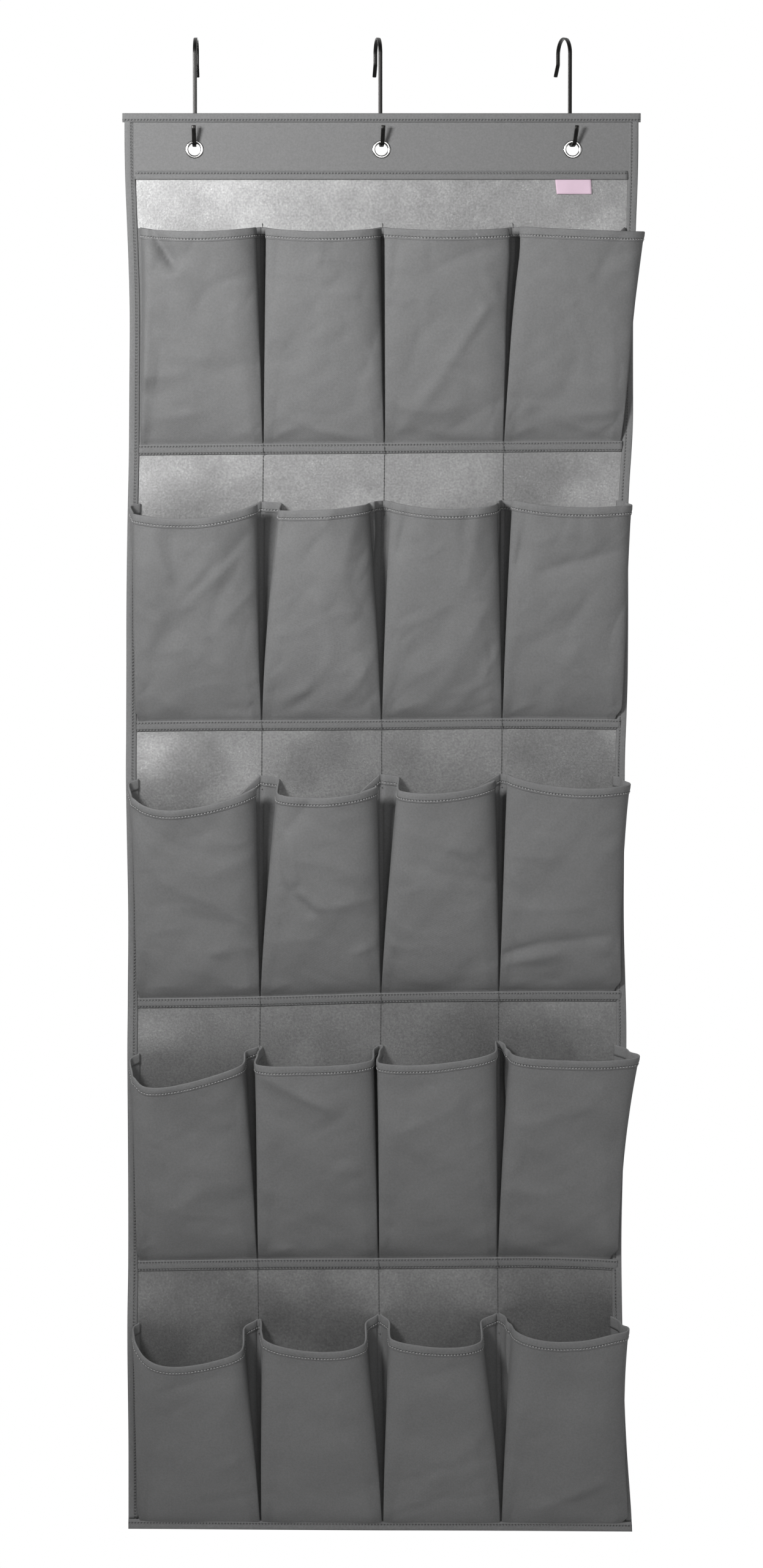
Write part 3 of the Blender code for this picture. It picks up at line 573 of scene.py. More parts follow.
def pocket_hem(row, points, rises):
    """Tape folded over the mouth. Its section runs up the front, over in half a circle
    and down the inside, and is carried along the strip's mouth."""
    tall = FEET[row] - MOUTHS[row]
    at = np.interp([tall - HEM_HEIGHT, tall - HEM_STITCH, tall - HEM_STITCH / 2, tall],
                   rises, np.arange(len(rises)))
    low = np.floor(at).astype(int)
    high = np.minimum(low + 1, len(rises) - 1)
    lines = points[low] + (points[high] - points[low]) * (at - low)[:, None, None]
    ahead = np.gradient(lines, axis=1)
    away = unit(spread(-ahead[..., 2], 0.0, ahead[..., 0]))
    lines, away = lines[:, HEM_SPAN], away[:, HEM_SPAN]
    along = lengths_along(lines[-1])
    ruffle = 0.25 * np.sin(2 * pi * along / STITCH_PITCH)[:, None]
    off = PLY + HEM_CLEAR
    # Each point's line up the mouth, its way out, its way down and its share of the ruffle.
    section = [(0, off - 0.8, 0.0, 0.0), (0, off - 0.15, -1.0, 0.0), (1, off - 0.3, 0.0, 0.0),
               (2, off + 0.15, 0.0, 0.5), (3, off, 0.0, 0.0)]
    section += [(3, off * cos(turn), -off * sin(turn), 0.0)
                for turn in np.radians([30, 60, 90, 120, 150])]
    section += [(3, -off, 0.0, 0.0), (2, -off, 0.0, 0.0), (1, -off + 0.1, 0.0, 0.0),
                (0, -off, 0.0, 0.0)]
    rows = np.stack([lines[line] + away[line] * (out + share * ruffle) + (0, lower, 0)
                     for line, out, lower, share in section])
    rows[..., 2] = np.maximum(rows[..., 2], INSIDE_PANEL)
    heights = lengths_along(rows[:, rows.shape[1] // 2])
    uv = spread(along[None, :], (heights - heights[2] - HOLE_ABOVE)[:, None])
    hem = cloth_piece(f"hem_tape_{row + 1}", f"pocket_hem_{row + 1}", rows, uv, "tape")
    face = hung(rows[2] + away[1] * (PLY / 2))
    toward = hung(rows[2] + away[1] * 3) - face
    # The hem stitches take the lighter copy of the thread: painted highlight.
    return hem, stitches(f"hem_stitches_{row + 1}", [(face, toward)], "thread_painted_light")


# ---------- panel, header, tapes
def eyelet_holes(points):
    """Opens a round hole at each eyelet. Inside the collar a point's distance blends from
    its square distance, which makes squares into circles, to its own; the quads of the
    smallest square are left out."""
    for eyelet in EYELETS:
        away = points[..., :2] - (eyelet, EYELET_DOWN)
        square = np.abs(away).max(axis=-1)
        direct = np.maximum(np.hypot(away[..., 0], away[..., 1]), 1e-6)
        outer = smoothstep(HOLE, COLLAR, square)
        blend = (square * (1 - outer) + direct * outer) / direct
        scale = np.where(square < COLLAR, blend, 1.0)[..., None]
        points[..., :2] = (eyelet, EYELET_DOWN) + away * scale
    return points


def pierced(name, stands_for, bottom, spacing, out, finish):
    """Flat sheet from the top edge down to the bottom, its points closer together near the
    eyelets, with a hole for each."""
    rings = (-COLLAR, -HOLE, HOLE, COLLAR)
    near = (1.6, 1.6, 1.6)
    x = stops([EDGE - HALF, *[eyelet + ring for eyelet in EYELETS for ring in rings], HALF - EDGE],
              (6.0, *(*near, 6.0) * len(EYELETS)))
    down = stops([EDGE, *[EYELET_DOWN + ring for ring in rings], bottom], (5.0, *near, spacing))
    middle_x, middle_down = (x[:-1] + x[1:]) / 2, (down[:-1] + down[1:]) / 2
    from_eyelet = np.abs(middle_x[:, None] - EYELETS).min(axis=1)
    keep = (from_eyelet > HOLE) | (np.abs(middle_down - EYELET_DOWN)[:, None] > HOLE)
    points = eyelet_holes(spread(x[None, :], down[:, None], out))
    return cloth_piece(name, stands_for, points, points[..., :2], finish, keep=keep)


def panel():
    """Back panel, hung from the eyelets; slack between the rows it is sewn to."""
    return pierced("panel_cloth", "back_panel", HEIGHT - EDGE, 5.0, PANEL_FRONT - PANEL_MIDDLE,
                   "panel")


def facing():
    """Header facing, drawn tight over the stiffener."""
    piece = pierced("header_cloth", "header_band", HEADER_HEIGHT, 4.0,
                    PANEL_FRONT - FACING_MIDDLE, "header")
    return piece


def ribbon(name, stands_for, line, section, needles, thick=1.0, side=1, first=0.0):
    """Tape: a section of (towards the right of the line, out) points carried along a line
    of (x, down, out) points on the flat organizer. Thick stretches its way out, side -1
    turns it to the line's left, and needle holes follow the chosen points; first is the
    cloth coordinate where the line starts."""
    section = np.asarray(section, float)
    ahead = unit(np.gradient(line[:, :2], axis=0))
    right = side * np.stack([-ahead[:, 1], ahead[:, 0]], axis=1)
    points = np.empty((len(line), len(section), 3))
    points[..., :2] = line[:, None, :2] + right[:, None] * section[None, :, :1]
    points[..., 2] = line[:, None, 2] + thick * section[None, :, 1]
    across = lengths_along(section)
    from_needles = np.abs(across[:, None] - across[needles]).min(axis=1)
    uv = spread(first + lengths_along(line)[:, None], from_needles[None, :])
    return cloth_piece(name, stands_for, points, uv, "tape")


def folded_section(front, back, flange, rear, sink):
    """Binding's section: up its front flange, over the edge in half an ellipse, down the
    rear one, as (inward from the edge, out). The flange's end sinks towards the cloth."""
    middle, half = (front + back) / 2, (front - back) / 2
    fold = [(0.9 - 0.8 * sin(turn), middle + half * cos(turn))
            for turn in np.linspace(0, pi, 9)]
    low = [(flange, front - sink), (flange - 1.0, front - 0.45 * sink),
           (SEWN_IN, front - 0.15 * sink), (SEWN_IN - 1.2, front),
           (flange * 0.3, front + 0.05 * sink)]
    return low + fold + [(rear * 0.5, back), (SEWN_IN, back), (rear, back)]


def sewn_line(line, distance, out, inward=(0, 1)):
    """Line of points this far inside another, and the way out of the cloth there."""
    inside = line.copy()
    inside[:, :2] += np.multiply(inward, distance)
    inside[:, 2] = out
    face = hung(inside)
    return face, hung(inside + (0, 0, 3)) - face


def plies(name):
    """Ways out of a binding's front and rear plies."""
    front, rear = span(name, 1)
    return PANEL_FRONT - (front + PLY / 2), PANEL_FRONT - (rear - PLY / 2)


def bindings():
    """The four folded bindings and the stitches that hold them."""
    made, seams = [], []
    for name, x, down, flange, rear, sink, touch, inward in (
            ("top", stops((-HALF - 2, HALF + 2), 3), 0.0, 8.6, 8.2, 1.2, 0.2, 1),
            ("bottom", stops((HALF, -HALF), 3), HEIGHT, BINDING, BINDING, 1.0, THREAD_TOUCH, -1)):
        front, back = plies(f"{name}_binding")
        line = spread(x, down, 0.0)
        section = folded_section(front, back, flange, rear, sink)
        made.append(ribbon(f"{name}_binding_cloth", f"{name}_binding", line, section,
                           BINDING_NEEDLES))
        seams.append(sewn_line(line, SEWN_IN + inward * HOLE_ABOVE, front - touch + PLY / 2,
                               (0, inward)))
    front, back = plies("side_binding_left")
    step = HEADER_HEIGHT + 2, HEADER_HEIGHT + 8
    down = stops((2.1, *step, HEIGHT - BINDING + 1.5), 4)
    front = front + (SIDE_BINDING_OUT - front) * smoothstep(*step, down)
    section = folded_section(1.0, 0.0, BINDING, BINDING, 0.55)
    for side, name in ((-1, "left"), (1, "right")):
        line = spread(side * HALF, down, back)
        made.append(ribbon(f"side_binding_cloth_{name}", f"side_binding_{name}", line, section,
                           BINDING_NEEDLES, (front - back)[:, None], side, down[0]))
        seams.append(sewn_line(line, SEWN_IN + HOLE_ABOVE, front - THREAD_TOUCH + PLY / 2,
                               (-side, 0)))
    return made, stitches("binding_stitches", seams)


def seam_tapes():
    """Tape over the foot of each row but the last, half on the pleats, half on the panel;
    it rises like a bell over the pleats at each divider."""
    made, seams = [], []
    for row, foot in enumerate(FEET[:-1]):
        left, right = [ROOT_OUTER + max(2, lap) for lap in OUTER_LAPS[row]]
        x = stops((-left, right), 3)
        ridge = RIDGE * np.exp(-((x[:, None] - DIVIDERS) / RIDGE_WIDTH) ** 2).sum(axis=1)
        line = spread(x, foot, ridge)
        made.append(ribbon(f"seam_tape_cloth_{row + 1}", f"seam_tape_{row + 1}", line,
                           SEAM_SECTION, SEAM_NEEDLES))
        for needle, out in zip(SEAM_NEEDLES, (TAPE_OUT - 0.1 + ridge, 0.8)):
            seams.append(sewn_line(line, SEAM_SECTION[needle][0] + HOLE_ABOVE, out + PLY / 2))
    return made, stitches("seam_stitches", seams)


def header_tape():
    """Tape over the facing's lower edge, sewn along its upper side."""
    end = HALF - BINDING - TAPE_CLEAR
    out = PANEL_FRONT - sum(span("header_tape", 1)) / 2
    line = spread(stops((-end, end), 3), HEADER_HEIGHT, out)
    tape = ribbon("header_tape_cloth", "header_tape", line, HEADER_SECTION, HEADER_NEEDLES)
    needle, _ = HEADER_SECTION[HEADER_NEEDLES[0]]
    seam = sewn_line(line, needle + HOLE_ABOVE, out - 0.05 + PLY / 2)
    return tape, stitches("header_stitches", [seam])


def divider_seams():
    """Seams that part the pockets, where they show: over each seam tape and the bare panel
    down to the next mouth, with a knot a little inside it."""
    lines, knots = [], []
    for divider in DIVIDERS:
        for row, mouth in enumerate(MOUTHS):
            foot = FEET[row - 1] if row else -HEIGHT
            down = stops((foot - 3.5 if row else mouth - 5, mouth + 1.5), 2)
            out = 0.45 + (TAPE_OUT + 0.4) * (1 - smoothstep(foot + 6, foot + 8, down))
            lines.append(sewn_line(spread(divider, down, out), 0, out))
            knots.append(sewn_line(spread(divider, mouth + np.array([11.0, 13.2]), 1.6), 0, 1.6))
    # The divider stitches take the darker copy of the thread: painted shade.
    return (stitches("divider_stitches", lines, "thread_painted_shade", reach=0.5),
            stitches("divider_knots", knots, "thread", 2.2, 0.55))


def label():
    """Small woven label, left bare; its lower edge stands a little off the panel, waving
    once across its width."""
    (left, right), (low, high) = span("blank_label", 0), span("blank_label", 2)
    x = stops((left, right), 2)[None, :]
    down = stops((HEADER_TOP - high, HEADER_TOP - low), 1.5)[:, None]
    free = smoothstep(HEADER_HEIGHT, HEADER_HEIGHT + 14, down)
    wave = LABEL_WAVE * np.sin(2 * pi * (x - left) / (right - left))
    out = PANEL_FRONT - sum(span("blank_label", 1)) / 2 + free * (LABEL_OFF + wave)
    points = spread(x, down, out)
    piece = cloth_piece("label_cloth", "blank_label", points,
                        points[..., :2] - points[0, 0, :2], "label", 0.4)
    return piece


# ---------- metal
def rounded(loop, times=2):
    """Closed loop of points with its corners cut at a quarter and three quarters."""
    loop = np.asarray(loop, float)
    for _ in range(times):
        after = np.roll(loop, -1, axis=0)
        loop = np.stack([0.75 * loop + 0.25 * after, 0.25 * loop + 0.75 * after],
                        axis=1).reshape(-1, 2)
    return loop


def turned(name, stands_for, profile, eyelet, steps=64):
    """Ring: a closed profile of (radius, y) carried round the eyelet's axis."""
    radius, depth = rounded(profile).T[..., None]
    angle = 2 * pi * np.arange(steps) / steps
    points = spread(eyelet + radius * np.cos(angle), depth,
                    EYELET_UP + radius * np.sin(angle)).reshape(-1, 3)
    quads = grid_faces(len(radius), steps, around=True, closed=True)
    return add_piece(name, stands_for, points, quads.ravel(), np.full(len(quads), 4),
                     points[:, [0, 2]] - (eyelet, EYELET_UP), "nickel")


def eyelets():
    """Each barrel, with its rim rolled over the facing and its bore, and its washer."""
    made = []
    for side, eyelet in zip(THREE, EYELETS):
        front, back = span(f"eyelet_barrel_{side}", 1)
        low, high = span(f"eyelet_washer_{side}", 1)
        barrel = [(5.8, back - 1.2), (5.8, front + 1.3), (6.2, front + 0.35), (7.2, front),
                  (8.2, front + 0.1), (8.8, front + 0.5), (8.75, front + 0.8),
                  (8.2, front + 0.62), (7.2, front + 0.55), (6.45, front + 0.9),
                  (6.3, front + 1.6), (6.3, back - 1.2), (6.5, back - 0.6), (7.15, back - 0.45),
                  (7.2, back), (6.3, back - 0.1)]
        ring = [(6.6, low), (8.9, low), (8.9, (low + high) / 2), (8.6, high), (6.6, high)]
        made += [turned(f"eyelet_{side}", f"eyelet_barrel_{side}", barrel, eyelet),
                 turned(f"washer_{side}", f"eyelet_washer_{side}", ring, eyelet)]
    return made


# A hook as (back, up) from its eyelet's centre: the bend through the eyelet, the bend over
# the rail, where the front leg and the straight back leg end, and how the legs flare.
LOW_BEND, LOW_CENTRE = 7.0, (0.0, 10.3)
HIGH_BEND, HIGH_CENTRE = 15.8, (22.8, 93.9)
FRONT_LEG_UP, FRONT_FLARE = 22.5, radians(20)
KNEE_UP, TIP_UP, BACK_FLARE = 85.0, 74.0, radians(30)
HOOK_SECTION = ((2, 0.5), (1.5, 1), (-1.5, 1), (-2, 0.5),
                (-2, -0.5), (-1.5, -1), (1.5, -1), (2, -0.5))
HOOK_TURNS = radians(0), radians(9), radians(18)
HOOK_FRONT = -23.0  # y of the eyelets' centres
BEVELLED_END = 0.72  # share of the section left at a hook's ends


def bend(centre, radius, start, end, steps):
    """Arc of a circle, its angles in degrees from straight back."""
    angle = np.radians(np.linspace(start, end, steps))
    return centre + radius * np.stack([np.cos(angle), np.sin(angle)], axis=-1)


def hook_line():
    """Middle line of a hook: front leg, bend through the eyelet, shank, bend over the
    rail, flared back leg."""
    low = bend(LOW_CENTRE, LOW_BEND, -160, 0, 30)
    high = bend(HIGH_CENTRE, HIGH_BEND, 180, 0, 44)
    top = (low[0, 0] - (FRONT_LEG_UP - low[0, 1]) * tan(FRONT_FLARE), FRONT_LEG_UP)
    knee = (high[-1, 0], KNEE_UP)
    tip = (knee[0] + (KNEE_UP - TIP_UP) * tan(BACK_FLARE), TIP_UP)
    line = np.concatenate([
        np.linspace(top, low[0], 5)[:-1], low, np.linspace(low[-1], high[0], 12)[1:-1], high,
        np.linspace(high[-1], knee, 4)[1:-1], np.linspace(knee, tip, 6)])
    return np.concatenate([line[:1] + (line[:1] - line[1:2]) * 0.05, line,
                           line[-1:] + (line[-1:] - line[-2:-1]) * 0.15])


def hooks():
    """Flat steel strips bent to an S: a rounded rectangle carried along the hook's line."""
    line = hook_line()
    ahead = unit(np.gradient(line, axis=0))
    size = np.ones((len(line), 1))
    size[[0, -1]] = BEVELLED_END
    across, through = rounded(HOOK_SECTION, 1).T[:, None] * size
    rings, sides = across.shape
    x, y = across.ravel(), (line[:, :1] - ahead[:, 1:] * through).ravel()
    up = (line[:, 1:] + ahead[:, :1] * through).ravel()
    uv = spread(lengths_along(line)[:, None], 0.8 * np.arange(sides)).reshape(-1, 2)
    made = []
    for side, eyelet, turn in zip(THREE, EYELETS, HOOK_TURNS):
        points = spread(x * cos(turn) - y * sin(turn) + eyelet,
                        x * sin(turn) + y * cos(turn) + HOOK_FRONT, up + EYELET_UP)
        made.append(add_piece(f"s_hook_{side}", f"hook_{side}", points,
                              *rod_faces(rings, sides, order=-1), uv, "hook"))
    return made


# ---------- effects that several finishes share
class Value:
    """Output of a shader node. A sign between it and another value or a number adds a
    math node to its tree."""
    def __init__(self, socket):
        self.socket, self.tree = socket, socket.id_data

    def __add__(self, other):
        return calc("ADD", self, other)

    def __sub__(self, other):
        return calc("SUBTRACT", self, other)

    def __mul__(self, other):
        return calc("MULTIPLY", self, other)

    def __truediv__(self, other):
        return calc("DIVIDE", self, other)


def node(tree, kind, inputs=(), **settings):
    """Outputs, by number and by name, of a new node with these settings; inputs are
    (socket, number, colour or value) pairs."""
    made = tree.nodes.new(kind)
    for key, setting in settings.items():
        setattr(made, key, setting)
    for key, given in inputs:
        if isinstance(given, Value):
            tree.links.new(given.socket, made.inputs[key])
        else:
            made.inputs[key].default_value = given
    outputs = [Value(socket) for socket in made.outputs]
    return dict(enumerate(outputs)) | {value.socket.name: value for value in outputs}


def calc(operation, *values, clamp=False):
    tree = next(value.tree for value in values if isinstance(value, Value))
    return node(tree, "ShaderNodeMath", enumerate(values), operation=operation,
                use_clamp=clamp)[0]


def vector_calc(operation, first, second):
    tree = next(value.tree for value in (first, second) if isinstance(value, Value))
    inputs = ((0, first), ("Scale" if operation == "SCALE" else 1, second))
    return node(tree, "ShaderNodeVectorMath", inputs, operation=operation)[0]


def noise(at, scale, detail, roughness=0.5):
    return node(at.tree, "ShaderNodeTexNoise", (
        ("Vector", at), ("Scale", scale), ("Detail", detail), ("Roughness", roughness)))


def cells(at, scale, *more, **settings):
    """Voronoi cells: the distance from their points, and each cell's own tone."""
    found = node(at.tree, "ShaderNodeTexVoronoi", (("Vector", at), ("Scale", scale), *more),
                 **settings)
    return found["Distance"], node(at.tree, "ShaderNodeSeparateColor", ((0, found["Color"]),))[0]


def parts(vector):
    found = node(vector.tree, "ShaderNodeSeparateXYZ", ((0, vector),))
    return found["X"], found["Y"], found["Z"]


def eased(value, *ends):
    """Smooth step of a value between two ends, from the third number to the fourth."""
    return node(value.tree, "ShaderNodeMapRange", enumerate((value, *ends)),
                interpolation_type="SMOOTHSTEP")[0]


def plain_weave(at, pitch):
    """The product of a sine across and a sine along, the threads Pitch apart, with finer
    noise for the fibres."""
    at = vector_calc("SCALE", at, calc("DIVIDE", 2 * pi, pitch))
    x, y, _ = parts(at)
    crossing = calc("SINE", x) * calc("SINE", y)
    height = crossing * 0.35 + noise(at, 0.6, 2.0)[0] * 0.65
    # Shade is painted shade of the weave's relief: lighter where the threads stand high, darker
    # where they dip.
    return {"Height": height, "Shade": height * 0.5 + 0.35}


def soft_blotches(at, size, contrast):
    """1 + Contrast x (noise - 0.5), Size across."""
    tone = noise(at, calc("DIVIDE", 1.0, size), 3.0, 0.6)[0]
    return {"Factor": (tone - 0.5) * contrast + 1.0}


def painted_facet_light(at, size, contrast):
    """Painted light and shade of crumpled facets: 1 + Contrast x (tone - 0.5), where each
    cell, Size across and bent by noise, has a tone of its own."""
    scale = calc("DIVIDE", 1.0, size)
    drift = vector_calc("SUBTRACT", noise(at, scale, 1.0)["Color"], (0.5, 0.5, 0.5))
    bent = vector_calc("ADD", at, vector_calc("SCALE", drift, size))
    _, tone = cells(bent, scale, ("Smoothness", 0.5), feature="SMOOTH_F1")
    return {"Factor": (tone - 0.5) * contrast + 1.0}


def needle_holes(at, pitch, width):
    """Needle holes of a stitched line where the cloth's second coordinate is 0: a dent
    every Pitch along it, Width wide. The Mask paints the shade in the holes."""
    along, aside, _ = parts(at)
    near = calc("SUBTRACT", 1.0, calc("ABSOLUTE", aside) / width, clamp=True)
    dashes = calc("COSINE", along * (2 * pi) / pitch) * 0.45 + 0.55
    return {"Mask": near * dashes, "Groove": near}


def lint(at, size, radius):
    """Sparse specks: cells Size across, of which a few hold a dot of Radius at their point."""
    distance, tone = cells(at, calc("DIVIDE", 1.0, size))
    return {"Mask": calc("LESS_THAN", distance, radius) * calc("GREATER_THAN", tone, 0.6)}


def effect(formula, *numbers):
    """Node group called after its formula: a Vector and these numbers go into it, and the
    formula's values come out."""
    tree = bpy.data.node_groups.new(formula.__name__.replace("_", " "), "ShaderNodeTree")
    sockets = tree.interface
    sockets.new_socket(name="Vector", in_out="INPUT", socket_type="NodeSocketVector")
    for key in numbers:
        sockets.new_socket(name=key, in_out="INPUT", socket_type="NodeSocketFloat")
    given = tree.nodes.new("NodeGroupInput").outputs
    results = formula(*[Value(given[key]) for key in ("Vector", *numbers)])
    for key in results:
        sockets.new_socket(name=key, in_out="OUTPUT", socket_type="NodeSocketFloat")
    node(tree, "NodeGroupOutput", results.items())


def placed(name, at, **numbers):
    """Outputs of an effect placed in a material with its own numbers."""
    return node(at.tree, "ShaderNodeGroup", {"Vector": at, **numbers}.items(),
                node_tree=bpy.data.node_groups[name])


def blotches(at, size, contrast):
    return placed("soft blotches", at, Size=size, Contrast=contrast)[0]


# ---------- finishes
def plain(name, roughness, metallic=0.0, **sockets):
    """Material with these values on its shader; its object and its cloth coordinates."""
    made = bpy.data.materials.new(name)
    made.use_nodes = True
    shader = made.node_tree.nodes["Principled BSDF"].inputs
    for key, value in {"Roughness": roughness, "Metallic": metallic, **sockets}.items():
        shader[key.replace("_", " ")].default_value = value
    at = node(made.node_tree, "ShaderNodeTexCoord")
    return made, at["Object"], at["UV"]


def dressed(made, colour, factors, height=None, depth=0.0, rough=None):
    """The material with its base colour times every factor, a bump and a roughness."""
    tree, total = made.node_tree, factors[0]
    for factor in factors[1:]:
        total = total * factor
    links = {"Base Color": vector_calc("SCALE", colour, total)}
    if height is not None:
        links["Normal"] = node(tree, "ShaderNodeBump", (
            ("Strength", 1.0), ("Distance", depth), ("Height", height)))[0]
    if rough is not None:
        links["Roughness"] = rough
    for key, value in links.items():
        tree.links.new(value.socket, tree.nodes["Principled BSDF"].inputs[key])
    return made


def cloth_finish(name, colour, blotch, sewn=False):
    """Matte woven cloth with faint blotches, lint and, where sewn, needle holes darkened with
    painted shade.
    """
    made, at_object, at_cloth = plain(
        name, 0.82, Specular_IOR_Level=0.18, Sheen_Weight=0.05, Sheen_Roughness=0.5)
    threads = placed("plain weave", at_cloth, Pitch=0.0009)
    specks = placed("lint", at_object, Size=0.05, Radius=0.014)["Mask"]
    factors = [threads["Shade"] * 0.7 + 0.58, blotches(at_object, 0.09, blotch),
               blotches(at_object, 0.0017, 0.42), specks * 0.9 + 1.0]
    height = threads["Height"]
    if sewn:
        holes = placed("needle holes", at_cloth, Pitch=STITCH_PITCH * MM, Width=0.0013)
        # Painted shade in the needle holes darkens the colour there.
        factors.append(holes["Mask"] * -0.8 + 1.0)
        height = holes["Groove"] * -1.5 + height
    return dressed(made, colour, factors, height, 0.00016, threads["Shade"] * 0.2 + 0.7)


# The facets are painted light and shade of crumpled cloth.
FACET_START = (2.1, 0.5, 1.9)  # moves the facets along the panel


def panel_finish(colour):
    """Spunbond nonwoven: pressed diagonal dots with painted shade, a silvery grain, cloudy
    patches, and the painted light and shade of crumpled facets.
    """
    made, at_object, at_cloth = plain("panel_spunbond", 0.54, 0.76, Specular_IOR_Level=1.0)
    # Painted light and shade of crumpled facets, one tone for each cell.
    facets = placed("painted facet light", vector_calc("ADD", at_object, FACET_START),
                    Size=0.07, Contrast=0.34)[0]
    wide, patch, grain, fibres = [
        blotches(at_object, size, contrast) for size, contrast in
        ((0.07, 0.42), (0.02, 0.22), (0.0019, 0.9), (0.0011, 1.0))]
    dots = placed("plain weave", at_cloth, Pitch=0.0016)
    silver = calc("MULTIPLY", fibres - 1.07, 9.0, clamp=True)
    sparkle = silver * calc("MULTIPLY_ADD", patch - 1.0, 9.0, 0.3, clamp=True)
    factors = [wide, facets, patch, grain, dots["Shade"] * 0.45 + 0.73, sparkle * 0.7 + 0.93]
    return dressed(made, colour, factors, dots["Height"] * 0.2 + grain, 0.00018,
                   sparkle * -0.2 + (patch * -0.35 + 0.89))


def thread_finish(name, colour):
    """Twisted thread with a slightly uneven tone."""
    made, at_object, _ = plain(name, 0.55, Specular_IOR_Level=0.4, Sheen_Weight=0.2)
    twist = placed("plain weave", at_object, Pitch=0.0005)["Height"]
    return dressed(made, colour, [blotches(at_object, 0.004, 0.5)], twist, 0.0001)


def label_finish(colour):
    """Satin-woven label, bare: fine ribs and a faintly uneven tone."""
    made, at_object, at_cloth = plain("label_satin", 0.45, Specular_IOR_Level=0.5,
                                      Sheen_Weight=0.3)
    ribs = placed("plain weave", at_cloth, Pitch=0.0006)
    factors = [ribs["Shade"] * 0.25 + 0.86, blotches(at_object, 0.012, 0.12)]
    return dressed(made, colour, factors, ribs["Height"], 0.0001)


def steel_finish(colour, roughness):
    """Dark steel with a brushed grain, faint handling marks and a little uneven polish."""
    made, at_object, _ = plain("hook_dark_steel", roughness, 1.0)
    along = node(made.node_tree, "ShaderNodeMapping", (
        ("Vector", at_object), ("Scale", (1.0, 1.0, 0.06))))[0]
    grain, marks = blotches(along, 0.0012, 0.4), blotches(at_object, 0.006, 0.3)
    return dressed(made, colour, [grain, marks], grain, 0.00003, grain * marks * roughness)


def nickel_finish(colour):
    """Bright plated ring with painted shade: darker where its rim meets the cloth and where it
    turns into the bore, with a faint smear on one side."""
    made, at_object, at_cloth = plain("eyelet_nickel_polish", 0.18, 1.0)
    from_axis = node(made.node_tree, "ShaderNodeVectorMath", ((0, at_cloth),),
                     operation="LENGTH")["Value"]
    # Painted shade: the colour darkens at the rim's edge on the cloth and down into the bore.
    rim = eased(from_axis, 0.0080, 0.0088, 1.0, 0.16)
    bore = eased(from_axis, 0.0059, 0.0068, 0.2, 1.0)
    smear = blotches(at_object, 0.007, 1.2)
    return dressed(made, colour, [rim, bore, smear], rough=smear * 0.2)


def toned(name, roughness, colour, size, contrast):
    """Plain matte board or floor with faint blotches."""
    made, at_object, _ = plain(name, roughness)
    return dressed(made, colour, [blotches(at_object, size, contrast)])


def grey(value):
    return value, value, value


def all_finishes():
    """Every finish by its name, after the effects that they share."""
    effect(plain_weave, "Pitch")
    effect(soft_blotches, "Size", "Contrast")
    effect(needle_holes, "Pitch", "Width")
    effect(lint, "Size", "Radius")
    effect(painted_facet_light, "Size", "Contrast")
    return {
        "cloth": cloth_finish("pocket_cloth_weave", (0.236, 0.237, 0.238), 0.14),
        "header": cloth_finish("header_cloth_weave", (0.262, 0.262, 0.263), 0.10),
        # The tape is the pocket cloth made a little lighter: painted light that offsets the shade
        # on the sloping tapes.
        "tape": cloth_finish("tape_weave", (0.252, 0.253, 0.254), 0.16, sewn=True),
        "panel": panel_finish(grey(0.38)),
        "thread": thread_finish("thread_twist", grey(0.22)),
        # The hem and divider threads are lighter and darker copies of the one thread: painted
        # highlight on the hem stitches, painted shade in the divider seams.
        "thread_painted_light": thread_finish("thread_twist_painted_light", grey(0.46)),
        "thread_painted_shade": thread_finish("thread_twist_painted_shade", grey(0.11)),
        "label": label_finish((0.85, 0.64, 0.77)),
        "nickel": nickel_finish((0.78, 0.77, 0.76)),
        "hook": steel_finish((0.05, 0.049, 0.048), 0.34),
        "board": toned("header_board", 0.75, (0.62, 0.57, 0.48), 0.01, 0.2),
        "floor": toned("floor_pale", 0.9, grey(0.86), 0.4, 0.05),
    }


# ---------- floor, lamps and camera, all in metres
FLOOR_UP, FLOOR_X, FLOOR_Y = -1.75, (-3, 3), (-4.5, 0.45)
MIRRORED_FRONT = 0.1  # how white the room in front is in mirrors
DIM = 0.035  # how bright the room is for all but camera, glass and mirrors
# Square soft lamps: place, aim, size and power.
LAMPS = {"key": ((-0.8, -1.12, 0.05), (0, 0, -0.4), 0.36, 19),
         "fill": ((0.25, -2.4, 0.1), (0, 0, -0.5), 1.0, 9.5),
         "side_glow": ((2.0, -0.7, -0.3), (0, 0, -0.7), 1.2, 7),
         "back_wash": ((0.6, 1.9, 0.2), (0, 0, -0.7), 1.2, 12)}
CAMERA_PLACE, CAMERA_DIP = (0.0, -2.623, -0.2386), radians(2.063)
CAMERA_LENS, CAMERA_SENSOR, CAMERA_SHIFT = 61.158, 36, -0.25


def floor():
    """Plain pale floor below the organizer; it ends behind it, out of the camera's sight."""
    corners = spread(*np.meshgrid(FLOOR_X, FLOOR_Y), FLOOR_UP).reshape(-1, 3) / MM
    add_piece("floor", None, corners, [0, 1, 3, 2], [4], corners[:, :2], "floor")


def shown(name, data, place, turn):
    """Lamp or camera at a place, turned by these angles."""
    made = bpy.data.objects.new(name, data)
    bpy.context.collection.objects.link(made)
    made.location, made.rotation_euler = place, turn
    return made


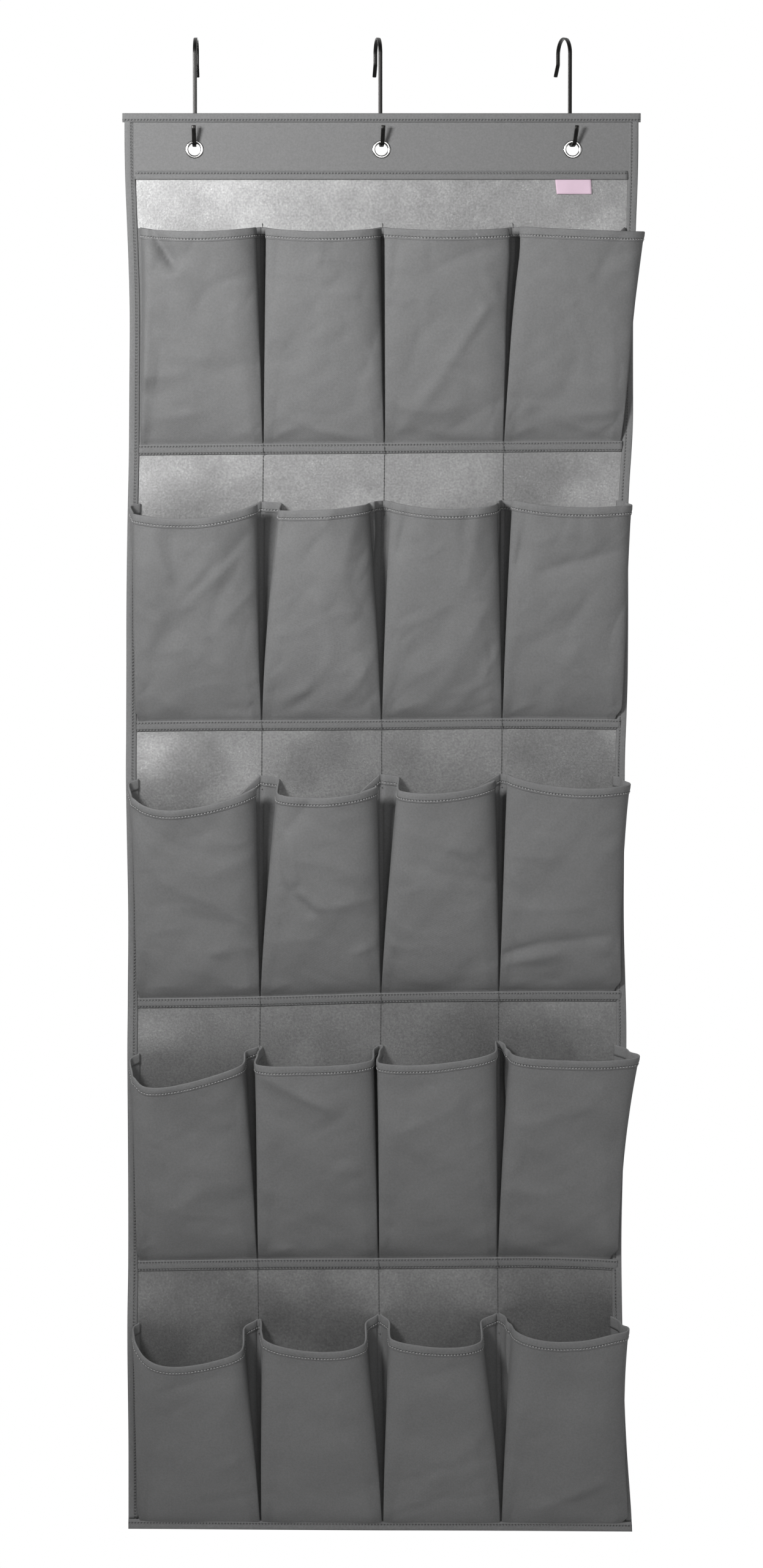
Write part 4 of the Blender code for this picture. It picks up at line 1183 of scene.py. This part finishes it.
def lamps():
    """Each lamp is turned to its aim."""
    for name, (place, aim, size, power) in LAMPS.items():
        light = bpy.data.lights.new(name, "AREA")
        light.size, light.energy = size, power
        x, y, z = np.subtract(aim, place)
        shown(name, light, place, (atan2(hypot(x, y), -z), 0, atan2(-x, y)))


def world():
    """White to the camera and through glass; in mirrors white behind the organizer and
    grey in front of it; a faint grey for the rest."""
    made = bpy.data.worlds.new("studio")
    made.use_nodes = True
    tree = made.node_tree
    rays = node(tree, "ShaderNodeLightPath")
    _, way, _ = parts(node(tree, "ShaderNodeTexCoord")["Generated"])
    mirrored = rays["Is Glossy Ray"] * eased(way, -0.4, 0.4, MIRRORED_FRONT, 1.0)
    seen = calc("MAXIMUM", rays["Is Camera Ray"], rays["Is Transmission Ray"])
    colour = node(tree, "ShaderNodeMix", (
        (0, calc("MAXIMUM", seen, mirrored)), (6, (*grey(DIM), 1)), (7, (1, 1, 1, 1))),
                  data_type="RGBA")[2]
    tree.links.new(colour.socket, tree.nodes["Background"].inputs["Color"])
    bpy.context.scene.world = made


def camera():
    """Long lens in front of the organizer's upper part, tilted a little down."""
    data = bpy.data.cameras.new("camera")
    data.lens, data.sensor_width, data.shift_y = CAMERA_LENS, CAMERA_SENSOR, CAMERA_SHIFT
    data.sensor_fit = "AUTO"
    bpy.context.scene.camera = shown("camera", data, CAMERA_PLACE, (pi / 2 - CAMERA_DIP, 0, 0))


# ---------- build
def build():
    """Every piece with its finish, slot and body, then the studio."""
    FINISHES.update(all_finishes())
    bpy.data.objects["header_stiffener"].material_slots[0].material = FINISHES["board"]
    back = panel()
    slots = [(back, "panel"), (facing(), "cloth"), (label(), "label")]
    (bound, bound_seam), (taped, taped_seam) = bindings(), seam_tapes()
    tapes = [*bound, bound_seam, *taped, taped_seam, *header_tape(), *divider_seams()]
    slots += [(piece, "tape") for piece in tapes]
    for row in range(ROWS):
        slots += pocket_row(row)
    slots += [(piece, "nickel") for piece in eyelets()]
    for piece, name in slots:
        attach(piece, "organizer")
    for piece, side in zip(hooks(), THREE):
        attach(piece, f"hook_{side}")
    camera()
    world()
    floor()
    lamps()
    bpy.context.scene.view_settings.view_transform = "Standard"


build()
